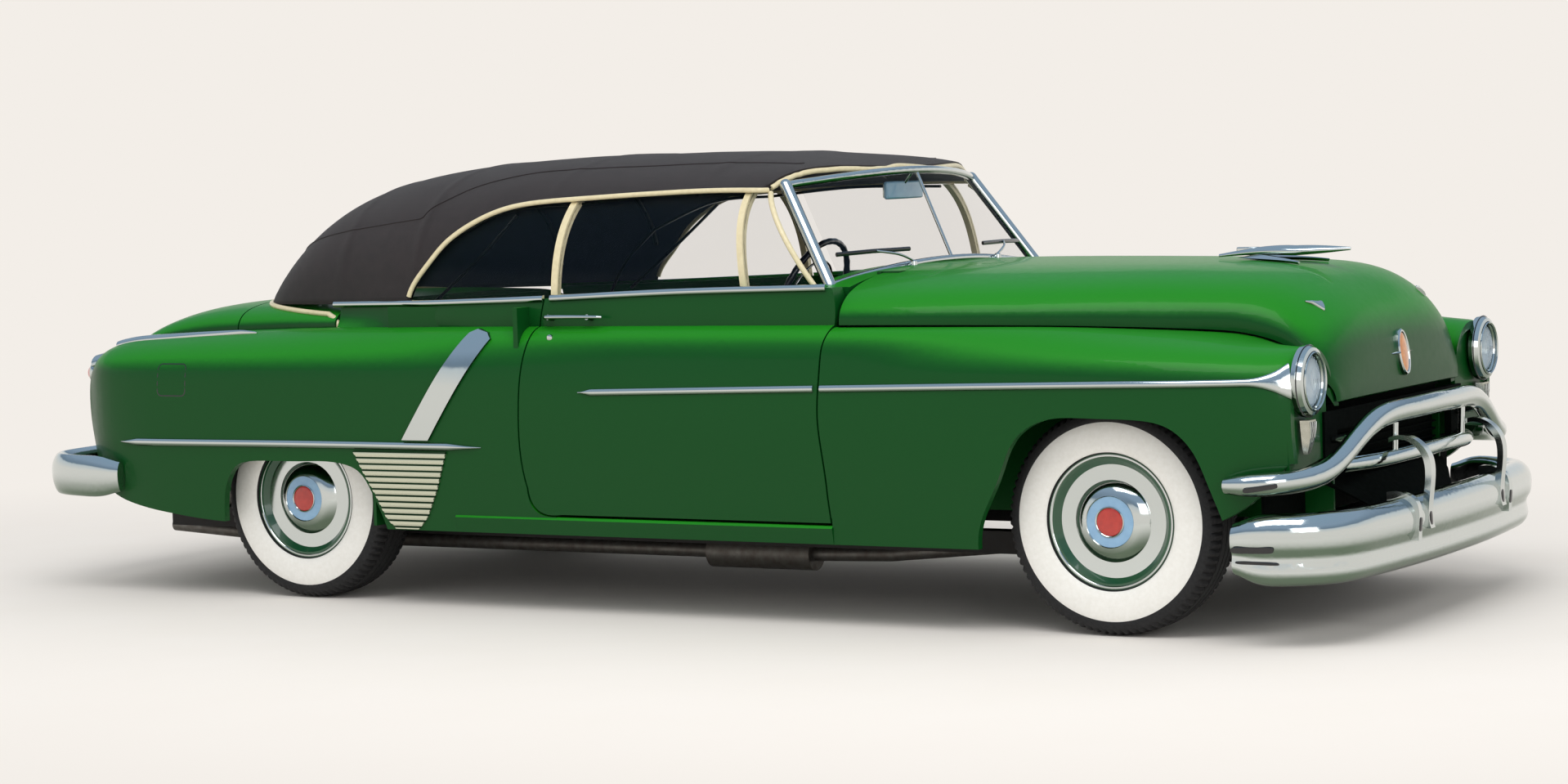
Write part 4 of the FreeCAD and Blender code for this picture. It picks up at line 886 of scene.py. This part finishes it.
medal_frame = ovals((-0.006, 0.010), (0.006, 0.010), (0.010, 0.006), (0.009, 0.001), (0.004, -0.002))
skinned("medallion_frame", medal_frame, CHROME, "hood")
medal_gem = ovals((0.003, 0.0), (0.007, -0.002), (0.0095, -0.012), (0.0105, -0.026))
skinned("medallion_gem", medal_gem, AMBER, "hood")
for side, word in SIDES:
    spots = [Vector((0.004 - 0.010 * t, side * (MEDAL_Y + 0.006 + 0.075 * t), 0.0)) for t in (0, 0.5, 1)]
    bar = [middle + on_nose @ spot for spot in spots]
    wing_name = f"medallion_wing_{word}"
    tube(wing_name, bar, lambda t: 0.0065 * (1 - t) + 0.001, CHROME, "hood", count=14, sides=10, flat=0.6)

ORNAMENT_X = 1.74
ORNAMENT_LENGTH = 0.44
ORNAMENT_REST_X = 2.0
ORNAMENT_RINGS = 46
FIN_X = (1.80, 1.88)
WING_X = 1.90
WING_REACH = 0.16
WING_RINGS = 22


def hood_top(x, y=0.0):
    """Point of the hood at x and y."""
    return down_hit(x, y, RIGHT)[0]


spine = []
for k in range(ORNAMENT_RINGS):
    t = k / (ORNAMENT_RINGS - 1)
    x = ORNAMENT_X + ORNAMENT_LENGTH * t
    base = hood_top(min(x, ORNAMENT_REST_X))
    lift = 0.010 + 0.022 * math.sin(math.pi * min(t * 0.8, 0.5)) + max(0.0, x - ORNAMENT_REST_X) * 0.03
    half = 0.006 + 0.026 * math.sin(math.pi * min(1.0, t * 1.02) ** 1.3) if t < 0.98 else 0.004
    tall = 0.006 + 0.014 * math.sin(math.pi * min(1.0, t) ** 1.2)
    center = Vector((x, base.y, base.z + lift))
    spine.append([center + Vector((0, half * c, max(tall * s, -tall * 0.6))) for c, s in circle(20)])
skinned("hood_ornament_body", spine, CHROME, "hood")
for side, word in SIDES:
    wing = []
    for k in range(WING_RINGS):
        t = k / (WING_RINGS - 1)
        x = WING_X + WING_REACH * t
        y = side * (0.020 + 0.105 * t)
        z = hood_top(x, y).z + 0.010
        chord = 0.085 * (1 - t) + 0.006
        top_z = z + 0.0085 * (1 - t) + 0.002
        section = ((-chord, z), (-chord * 0.3, top_z), (chord * 0.35, z), (-chord * 0.3, z - 0.008))
        wing.append([Vector((x + dx, y, height)) for dx, height in section])
    skinned(f"hood_ornament_wing_{word}", wing, CHROME, "hood", sharp=30)
fin_z = hood_top(sum(FIN_X) / 2).z
fin_low, fin_high = (FIN_X[0], -0.006, fin_z + 0.018), (FIN_X[1], 0.006, fin_z + 0.040)
rounded_box("hood_ornament_fin", fin_low, fin_high, 0.004, CHROME, "hood")

# Hood drops: their ends in the photograph, in pixels
DROP_TAIL = (1596, 369)
DROP_HEAD = (1617, 374)


def photo_ray(px, py):
    """Point and normal of the skin that the photograph's pixel shows."""
    ray = forward * FOCAL_PX + cam_right * (px - PHOTO_W / 2) - cam_up * (py - PHOTO_H / 2)
    return cast(SKIN[RIGHT], EYE, ray.normalized())


drop_tail = photo_ray(*DROP_TAIL)[0]
drop_head, drop_normal = photo_ray(*DROP_HEAD)
for side, word in SIDES:
    tail, head, normal = (Vector((p.x, p.y * -side, p.z)) for p in (drop_tail, drop_head, drop_normal))
    line = [tail.lerp(head, k / 15) for k in range(16)]
    moulding(f"hood_drop_{word}", line, [normal] * 16, lambda t: 0.003 + 0.019 * t**1.6, 0.010, CHROME, "hood")

# Dark screen, pan and valance behind the grille, near-black as painted shade of the mouth
FIN_LOW = 0.475
FIN_PITCH = 0.024
PAN_EDGE = (
    (2.262, 0.520, 0.458), (2.330, 0.430, 0.400), (2.372, 0.340, 0.352), (2.376, 0.330, 0.346),
    (2.262, 0.516, 0.446),
)
PAN_BULGE = 0.055
PAN_ROWS = 25
rounded_box("mouth_screen", (2.255, -0.500, 0.455), (2.268, 0.500, 0.690), 0.004, MOUTH_SHADE, "car")
for k in range(9):
    z = FIN_LOW + FIN_PITCH * k
    rounded_box(f"mouth_fin_{k}", (2.268, -0.495, z), (2.280, 0.495, z + 0.006), 0.0015, MOUTH_SHADE, "car")
rows = []
for j in range(PAN_ROWS):
    share = j / (PAN_ROWS - 1)
    bulge = PAN_BULGE * (1 - (2 * share - 1) ** 2)
    rows.append([Vector((x + bulge * k / 4, y * (2 * share - 1), z)) for k, (x, y, z) in enumerate(PAN_EDGE)])
skinned("front_pan", rows, MOUTH_SHADE, "car", sharp=30)
rounded_box("front_valance", (2.190, -0.790, 0.335), (2.200, 0.790, 0.480), 0.004, MOUTH_SHADE, "car")

# Dark slots in the bumper, the bar and the guards, as black pads of painted shade
BUMPER_TREE = tree_of("front_bumper")
GRILLE_TREE = tree_of("grille")


def shade_slot_pad(name, hit, along, length, height):
    """Dark rounded pad on a bright bar, where a ray met it: painted shade standing for a slot."""
    point, n = hit
    if point is None:
        return
    n = n.normalized()
    t = (Vector(along) - n * n.dot(Vector(along))).normalized()
    up = n.cross(t).normalized()
    rings = []
    for grow, out in ((1.0, -0.004), (1.0, 0.0012), (0.86, 0.0022)):
        center = point + n * out
        wide, tall = t * length / 2 * grow, up * height / 2 * grow
        rings.append([center + wide * squared(c, 0.35) + tall * squared(s, 0.6) for c, s in circle(24)])
    skinned(name, rings, BLACK, "car")


for side, word in SIDES:
    inward = (0, -side, 0)
    for k, (x, z, height) in enumerate(((2.235, 0.292, 0.020), (2.245, 0.254, 0.010))):
        shade_slot_pad(f"bumper_slot_{word}_{k}", cast(BUMPER_TREE, (x, side * 3, z), inward), (1, 0, 0), 0.13, height)
    shade_slot_pad(f"bar_slot_{word}", cast(GRILLE_TREE, (2.262, side * 3, 0.470), inward), (1, 0, 0), 0.10, 0.016)
    for k, (y, z) in enumerate(((0.33, 0.325), (0.414, 0.315))):
        shade_slot_pad(f"guard_slot_{word}_{k}", cast(BUMPER_TREE, (4, side * y, z), (-1, 0, 0)), (0, 0, 1), 0.042, 0.020)

# Windshield wipers and mirror
GLASS_TREE = tree_of("windshield_glass", "windshield_frame")
PIVOT_X = 0.800
PIVOT_Y = 0.30
COWL_Z = 1.103
WIPER_PIVOT = [(-0.006, 0.0), (-0.006, 0.013), (0.012, 0.011), (0.016, 0.006), (0.016, 0.0)]
BLADE_LINE = ((0.26, 1.150), (0.36, 1.150), (0.46, 1.150), (0.56, 1.148), (0.64, 1.146))
STAND_UP = Matrix.Rotation(math.radians(90), 3, "X").to_4x4()


def glass_hit(y, z):
    """Outer face of the windshield at y and z."""
    return cast(GLASS_TREE, (3, y, z), (-1, 0, 0))[0]


for side, word in SIDES:
    pivot = down_hit(PIVOT_X, side * PIVOT_Y, side)[0] or Vector((PIVOT_X, side * PIVOT_Y, COWL_Z))
    lathe(f"wiper_pivot_{word}", WIPER_PIVOT, pivot, 1, CHROME, "car", 24, matrix=STAND_UP)
    tip = glass_hit(side * 0.45, 1.150) + Vector((0.010, 0, 0.002))
    arm = [pivot + Vector((0, 0, 0.014)), (pivot + tip) / 2 + Vector((0.014, 0, 0.012)), tip]
    tube(f"wiper_arm_{word}", arm, 0.0042, CHROME, "car", count=16, sides=8)
    blade = [glass_hit(side * y, z) + Vector((0.006, 0, 0.002)) for y, z in BLADE_LINE]
    tube(f"wiper_blade_{word}", blade, 0.0048, BLACK, "car", count=24, sides=8, flat=1.5)

rounded_box("mirror_shell", (0.598, -0.125, 1.312), (0.616, 0.125, 1.372), 0.008, BLUE_DISC, "car")
rounded_box("mirror_face", (0.592, -0.118, 1.318), (0.599, 0.118, 1.366), 0.003, CHROME, "car")
tube("mirror_stem", [(0.612, 0, 1.366), (0.628, 0, 1.385), (0.640, 0, 1.400)], 0.006, CHROME, "car", count=8, sides=10)

# Seats
SEAT_VOXEL = 0.016
SEAT_STEPS = 14
SWELL_CAP = 0.016
CROWN = 0.020
CHANNEL = 0.006


def blow_up(obj):
    """Swells a closed mesh as cloth under pressure, by SWELL_CAP at most."""
    rest = [v.co.copy() for v in obj.data.vertices]
    cloth = obj.modifiers.new("cloth", "CLOTH")
    cloth.settings.use_pressure = True
    cloth.settings.uniform_pressure_force = 4
    cloth.settings.effector_weights.gravity = 0
    cloth.settings.tension_stiffness = 30
    cloth.settings.compression_stiffness = 30
    cloth.point_cache.frame_start = 1
    cloth.point_cache.frame_end = SEAT_STEPS
    for step in range(1, SEAT_STEPS + 1):
        bpy.context.scene.frame_set(step)
    graph = bpy.context.evaluated_depsgraph_get()
    blown = bpy.data.meshes.new_from_object(obj.evaluated_get(graph))
    obj.modifiers.clear()
    obj.data = blown
    for v, start in zip(blown.vertices, rest):
        move = v.co - start
        if move.length > SWELL_CAP:
            v.co = start + move * (SWELL_CAP / move.length)
    bpy.context.scene.frame_set(1)


def cushion(name, low, high, tilt, pleats):
    """Crowned seat cushion with sewn channels along X or Z; it is blown up as cloth, then pleated."""
    low, high = Vector(low), Vector(high)
    size = high - low
    work = bmesh.new()
    bmesh.ops.create_cube(work, size=1)
    for v in work.verts:
        v.co = Vector((v.co[i] * size[i] for i in range(3)))
    bmesh.ops.bevel(work, geom=work.edges[:], offset=min(size) * 0.28, segments=3, profile=0.5, affect="EDGES")
    bmesh.ops.triangulate(work, faces=work.faces[:])
    mesh = bpy.data.meshes.new(name)
    work.to_mesh(mesh)
    work.free()
    obj = bpy.data.objects.new(name, mesh)
    bpy.context.scene.collection.objects.link(obj)
    remesh = obj.modifiers.new("voxels", "REMESH")
    remesh.mode = "VOXEL"
    remesh.voxel_size = SEAT_VOXEL
    graph = bpy.context.evaluated_depsgraph_get()
    mesh = bpy.data.meshes.new_from_object(obj.evaluated_get(graph))
    obj.modifiers.clear()
    obj.data = mesh
    blow_up(obj)
    mesh = obj.data
    deep = 0 if size.x < size.z else 2
    wide = 2 - deep
    for v in mesh.vertices:
        y = v.co.y / (size.y / 2)
        edge = max(0.0, 1 - abs(y) ** 6)
        inner = max(0.0, 1 - abs(v.co[wide] / (size[wide] / 2)) ** 4)
        v.co[deep] *= 1 + CROWN / size[deep] * edge * inner
        seam = abs(math.sin(math.pi * pleats * (y + 1) / 2))
        v.co[deep] *= 1 - CHANNEL / size[deep] * 2 * (1 - seam) ** 5 * inner * edge
    mesh.materials.clear()
    mesh.materials.append(VINYL)
    mesh.polygons.foreach_set("use_smooth", [True] * len(mesh.polygons))
    soften = obj.modifiers.new("soften", "SUBSURF")
    soften.levels = soften.render_levels = 1
    obj.matrix_world = Matrix.Translation((low + high) / 2) @ Matrix.Rotation(tilt, 4, "Y")
    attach(obj, "car")
    return obj


def seat_piping(name, low, high, tilt):
    """Welt cord round the front face of a seat part."""
    low, high = Vector(low), Vector(high)
    place = Matrix.Translation((low + high) / 2) @ Matrix.Rotation(tilt, 4, "Y")
    half = (high - low) / 2
    loop = []
    for c, s in circle(80):
        u = half.y * 0.985 * squared(c, 0.22)
        if half.x < half.z:
            loop.append(place @ Vector((half.x * 0.78, u, half.z * 0.96 * squared(s, 0.3))))
        else:
            loop.append(place @ Vector((half.x * 0.96 * squared(s, 0.3), u, half.z * 0.78)))
    tube(name, loop, 0.0045, PIPING, "car", count=0, sides=8, loop=True)


# Pads: name of the pad, name of its piping, low and high corner, tilt, channels
PADS = (
    ("front_cushion", "front_cushion_welt", (-0.300, -0.670, 0.445), (0.180, 0.670, 0.560), math.radians(-3), 14),
    ("front_backrest", "front_back_welt", (-0.440, -0.670, 0.500), (-0.335, 0.670, 0.945), math.radians(-7), 14),
    ("rear_cushion", "rear_cushion_welt", (-1.060, -0.570, 0.480), (-0.700, 0.570, 0.580), math.radians(-2), 12),
    ("rear_backrest", "rear_back_welt", (-1.205, -0.570, 0.540), (-1.100, 0.570, 0.915), math.radians(-9), 12),
)
pads = {name: cushion(name, low, high, tilt, pleats) for name, _, low, high, tilt, pleats in PADS}
for _, name, low, high, tilt, _ in PADS:
    seat_piping(name, low, high, tilt)


def seat_base(name, x0, x1, y, half, z0, z1, radius):
    """Plain navy block under a seat."""
    rounded_box(name, (x0, y - half, z0), (x1, y + half, z1), radius, TRIM_NAVY, "car")


for side, word in SIDES:
    seat_base(f"front_seat_base_{word}", -0.320, 0.140, side * 0.395, 0.270, 0.282, 0.448, 0.012)
seat_base("rear_seat_base", -1.040, -0.730, 0.0, 0.560, 0.484, 0.500, 0.006)
for side, word in SIDES:
    seat_base(f"rear_seat_apron_{word}", -0.735, -0.715, side * 0.325, 0.225, 0.284, 0.500, 0.006)
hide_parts("front_seat")
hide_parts("rear_seat")

# Door and quarter cards
CARD_COLUMNS = 110
CARD_ROWS = 14
CARD_Z1 = 0.985


def card(name, x0, x1, y, z0, body, ribs):
    """Trim panel on an inner wall, pleated below and plain above."""
    front, back = [], []
    for j in range(CARD_ROWS):
        up = j / (CARD_ROWS - 1)
        z = z0 + (CARD_Z1 - z0) * up
        for i in range(CARD_COLUMNS):
            along = i / (CARD_COLUMNS - 1)
            edge = min(1.0, min(i, CARD_COLUMNS - 1 - i) / 2, min(j, CARD_ROWS - 1 - j))
            pleat = 0.004 * abs(math.sin(math.pi * ribs * along)) ** 0.6 if 0.12 < up < 0.62 else 0.0
            x = x0 + (x1 - x0) * along
            front.append(Vector((x, y - math.copysign((0.006 + pleat) * edge + 0.001, y), z)))
            back.append(Vector((x, y, z)))
    faces = grid_faces(CARD_ROWS, CARD_COLUMNS)
    count = len(front)
    faces += [tuple(count + i for i in f[::-1]) for f in faces]
    border = list(range(CARD_COLUMNS)) + [j * CARD_COLUMNS + CARD_COLUMNS - 1 for j in range(1, CARD_ROWS)]
    border += [(CARD_ROWS - 1) * CARD_COLUMNS + i for i in range(CARD_COLUMNS - 2, -1, -1)]
    border += [j * CARD_COLUMNS for j in range(CARD_ROWS - 2, 0, -1)]
    for a, b in zip(border, border[1:] + border[:1]):
        faces.append((a, b, count + b, count + a))
    piece(name, front + back, faces, VINYL, body, sharp=50)


PULL_LINE = (
    (0.05, 0.792, 0.775), (0.06, 0.760, 0.780), (0.22, 0.752, 0.782), (0.38, 0.760, 0.780), (0.39, 0.792, 0.775),
)
CRANK_HUB = [(-0.004, 0.0), (-0.004, 0.02), (0.006, 0.018), (0.010, 0.008), (0.010, 0.0)]
CRANK_LINE = ((0.56, 0.784, 0.70), (0.60, 0.775, 0.665), (0.635, 0.768, 0.635))
for side, word in SIDES:
    door = f"door_{word}"
    card(f"door_card_{word}", -0.24, 0.76, side * 0.7995, 0.36, door, 26)
    pull = [(x, side * y, z) for x, y, z in PULL_LINE]
    tube(f"door_pull_{word}", pull, 0.012, CHROME, door, count=30, sides=10)
    lathe(f"window_crank_hub_{word}", CRANK_HUB, (0.56, side * 0.792, 0.70), -side, CHROME, door, 24)
    crank = [(x, side * y, z) for x, y, z in CRANK_LINE]
    tube(f"window_crank_{word}", crank, 0.006, CHROME, door, count=12, sides=8)
    card(f"quarter_card_{word}", -0.93, -0.36, side * 0.7935, 0.33, "car", 16)

# Dashboard: gauges as (y, radius), speaker, knobs and glove box
DASH_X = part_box("dashboard")[0].x
GAUGES = ((0.38, 0.082), (0.25, 0.034), (0.51, 0.034))
GAUGE_Z = 0.925
GAUGE_MARKS = 13
KNOB = [(-0.002, 0.0), (-0.002, 0.012), (0.016, 0.011), (0.020, 0.007), (0.020, 0.0)]
GLOVE_CENTER = Vector((DASH_X - 0.001, -0.52, 0.945))
GLOVE_LINE = (
    (-0.13, -0.055), (0.0, -0.058), (0.13, -0.055), (0.138, 0.0), (0.13, 0.052), (0.0, 0.055), (-0.13, 0.052),
    (-0.138, 0.0),
)
for k, (y, r) in enumerate(GAUGES):
    center = Vector((DASH_X, y, GAUGE_Z))
    ring = [(0.0, r), (0.010, r), (0.014, r - 0.004), (0.010, r - 0.009), (0.002, r - 0.009)]
    lathe(f"gauge_ring_{k}", ring, center, 1, CHROME, "car", 48, matrix=TURN_BACK)
    dial = [(-0.001, 0.0), (-0.001, r - 0.006), (0.003, r - 0.006), (0.0035, 0.0)]
    lathe(f"gauge_face_{k}", dial, center, 1, DIAL, "car", 48, matrix=TURN_BACK)
    for j in range(GAUGE_MARKS):
        a = math.radians(-40 + 260 * j / (GAUGE_MARKS - 1))
        ends = (r - 0.020, r - 0.012)
        mark = [center + Vector((-0.0040, end * math.cos(a), end * math.sin(a))) for end in ends]
        tube(f"gauge_mark_{k}_{j}", mark, 0.0009, BLACK, "car", count=2, sides=6)
    needle = [center + Vector((-0.0050, 0, 0)), center + Vector((-0.0050, -(r - 0.018) * 0.7, (r - 0.018) * 0.6))]
    tube(f"gauge_needle_{k}", needle, 0.0012, RED_DISC, "car", count=2, sides=6)
strip = [(DASH_X - 0.004, y, 0.862) for y in (-0.74, 0, 0.74)]
tube("dash_strip", strip, 0.007, CHROME, "car", count=30, sides=10, flat=1.6)
for k in range(9):
    bar = [(DASH_X - 0.002, y, 0.885 + 0.011 * k) for y in (-0.12, 0.12)]
    tube(f"speaker_bar_{k}", bar, 0.0032, CHROME, "car", count=2, sides=8)
for k in range(4):
    lathe(f"dash_knob_{k}", KNOB, (DASH_X, -0.24 - 0.05 * k, 0.90), 1, IVORY, "car", 20, matrix=TURN_BACK)
edge = [GLOVE_CENTER + Vector((0, y, z)) for y, z in GLOVE_LINE]
tube("glove_lid_edge", edge, 0.0022, BLACK, "car", count=0, sides=6, loop=True)

# Steering wheel
HUB_AXIS = Vector((-0.9154, 0, 0.4025)).normalized()
WHEEL_CENTER = Vector((0.020, 0.380, 0.973))
RIM_R = 0.2095
HORN_R = 0.130
GRIP_GROOVES = 32
side_axis = Vector((0, 1, 0))
rise_axis = HUB_AXIS.cross(side_axis).normalized()
place = Matrix((
    (side_axis.x, rise_axis.x, HUB_AXIS.x, WHEEL_CENTER.x), (side_axis.y, rise_axis.y, HUB_AXIS.y, WHEEL_CENTER.y),
    (side_axis.z, rise_axis.z, HUB_AXIS.z, WHEEL_CENTER.z), (0, 0, 0, 1),
))
rim_loop = [place @ Vector((RIM_R * c, RIM_R * s, 0)) for c, s in circle(96)]


def grip_radius(share):
    """Radius of the rim with its finger grooves."""
    return 0.0112 + 0.0008 * math.cos(share * 2 * math.pi * GRIP_GROOVES)


def spoke_radius(share):
    """Radius of a spoke, thinner towards the rim."""
    return 0.013 - 0.004 * share


rim = tube("steering_rim", rim_loop, grip_radius, IVORY, "steering_wheel", count=0, loop=True, up=HUB_AXIS)
for k, sign in enumerate((-1, 1)):
    spoke = [place @ Vector((sign * r, 0.0, -0.012 + 0.010 * r / RIM_R)) for r in (0.02, 0.10, RIM_R - 0.004)]
    name = f"steering_spoke_{k}"
    tube(name, spoke, spoke_radius, IVORY, "steering_wheel", count=16, sides=10, flat=0.6, up=HUB_AXIS)
horn_angles = [math.pi + math.pi * k / 30 for k in range(31)]
horn = [place @ Vector((HORN_R * math.cos(a), HORN_R * math.sin(a), 0.010)) for a in horn_angles]
tube("horn_ring", horn, 0.0042, CHROME, "steering_wheel", count=0, sides=10, up=HUB_AXIS)
BOSS = [(-0.012, 0.0), (-0.012, 0.036), (0.004, 0.034), (0.014, 0.026), (0.018, 0.012), (0.0185, 0.0)]
on_hub = place @ Matrix.Rotation(math.radians(90), 4, "X")
lathe("steering_boss", BOSS, (0, 0, 0), 1, CHROME, "steering_wheel", 40, matrix=on_hub)
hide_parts("steering_wheel")
lever = [(0.12, 0.36, 0.935), (0.10, 0.27, 0.965), (0.085, 0.20, 0.985)]
tube("shift_lever", lever, 0.005, CHROME, "car", count=16, sides=8)
LEVER_KNOB = [(0.0, 0.0), (0.003, 0.010), (0.012, 0.013), (0.021, 0.010), (0.024, 0.0)]
lathe("shift_knob", LEVER_KNOB, (0.083, 0.195, 0.987), -1, IVORY, "car", 20)

# Bows and side links of the folding frame, under the cloth
BOW_DEPTH = 0.019
for k, b in enumerate(BOWS):
    row = min(top_rows, key=lambda r: abs(r[0].x - b))
    inner = [p - Vector((0, p.y, p.z - TOP_AXIS_Z)).normalized() * BOW_DEPTH for p in row[4:-4]]
    tube(f"top_bow_{k}", inner, 0.010, BLACK, "car", count=50, sides=10)
for side, word in SIDES:
    inboard = side * 0.655
    links = (
        [(-0.30, inboard, 1.325), (-0.55, inboard, 1.310), (-0.80, inboard * 0.98, 1.215)],
        [(-0.80, inboard * 0.98, 1.215), (-0.93, inboard * 0.98, 1.10), (-1.00, inboard * 0.97, 0.985)],
        [(0.40, inboard, 1.345), (0.05, inboard * 0.985, 1.350), (-0.30, inboard, 1.325)],
        [(-0.52, inboard * 0.97, 1.300), (-0.70, inboard * 0.95, 1.15), (-0.90, inboard * 0.95, 1.00)],
    )
    for k, line in enumerate(links):
        tube(f"top_link_{word}_{k}", line, 0.009, BLACK, "car", count=20, sides=10, flat=0.6)

# Floor, backdrop and light
PAPER = (243, 238, 232)
SHADOW_NEAR = 1.6
SHADOW_FAR = 4.2
DAYLIGHT = 0.78
KEY_POWER = 300
FILL_POWER = 70


def paper(name):
    """Pale ground with a shadow near the car, which turns into the plain backdrop colour further out."""
    mat = finish(name, PAPER, (238, 232, 224), 0.35, 0.9, 0.05, 2.0)
    tree = mat.node_tree
    spot = node(tree, "TexCoord").outputs["Object"]
    flat = node(tree, "Mapping", {"Scale": (0.62, 1.0, 0.0), "Vector": spot}).outputs["Vector"]
    reach = node(tree, "VectorMath", {0: flat}, operation="LENGTH").outputs["Value"]
    limits = {"From Min": SHADOW_NEAR, "From Max": SHADOW_FAR, "Value": reach}
    share = node(tree, "MapRange", limits, interpolation_type="SMOOTHSTEP").outputs["Result"]
    plain = node(tree, "Emission", {"Color": linear(*PAPER)}).outputs["Emission"]
    lit = tree.nodes["Principled BSDF"].outputs["BSDF"]
    blend = node(tree, "MixShader", {"Fac": share, 1: lit, 2: plain})
    tree.links.new(blend.outputs["Shader"], tree.nodes["Material Output"].inputs["Surface"])
    return mat


bpy.ops.mesh.primitive_plane_add(size=160)
floor = bpy.context.object
floor.name = "floor"
floor.data.materials.append(paper("paper_floor"))

world = bpy.data.worlds.new("studio")
bpy.context.scene.world = world
world.use_nodes = True
sky = world.node_tree
height = node(sky, "SeparateXYZ", {"Vector": node(sky, "TexCoord").outputs["Generated"]}).outputs["Z"]
ramp = node(sky, "ValToRGB", {"Fac": height})
stops = ramp.color_ramp.elements
stops[0].color = linear(*PAPER)
stops[1].color = linear(150, 176, 200)
for position, color in ((0.10, PAPER), (0.30, (214, 222, 228)), (0.34, (120, 140, 160)), (0.55, (150, 172, 196))):
    stops.new(position).color = linear(*color)
seen = node(sky, "LightPath").outputs
shown = seen["Is Camera Ray"]
for ray in ("Is Glossy Ray", "Is Transmission Ray"):
    shown = node(sky, "Math", {0: shown, 1: seen[ray]}, operation="ADD", use_clamp=True).outputs["Value"]
backdrop = node(sky, "Background", {"Color": ramp.outputs["Color"]}).outputs["Background"]
daylight = node(sky, "Background", {"Color": (1, 1, 1, 1), "Strength": DAYLIGHT}).outputs["Background"]
choice = node(sky, "MixShader", {"Fac": shown, 1: daylight, 2: backdrop})
sky.links.new(choice.outputs["Shader"], sky.nodes["World Output"].inputs["Surface"])


def lamp(name, place, aim, size, power):
    """Rectangular lamp at a place, aimed at a point."""
    data = bpy.data.lights.new(name, "AREA")
    data.shape = "RECTANGLE"
    data.size, data.size_y = size
    data.energy = power
    obj = bpy.data.objects.new(name, data)
    bpy.context.scene.collection.objects.link(obj)
    obj.location = place
    obj.rotation_euler = (Vector(aim) - Vector(place)).to_track_quat("-Z", "Y").to_euler()


lamp("key", (2.0, -4.5, 7.5), (0, 0, 0.4), (7, 4), KEY_POWER)
lamp("fill", (7.5, -6.0, 3.2), (1.0, 0, 0.6), (4, 3), FILL_POWER)
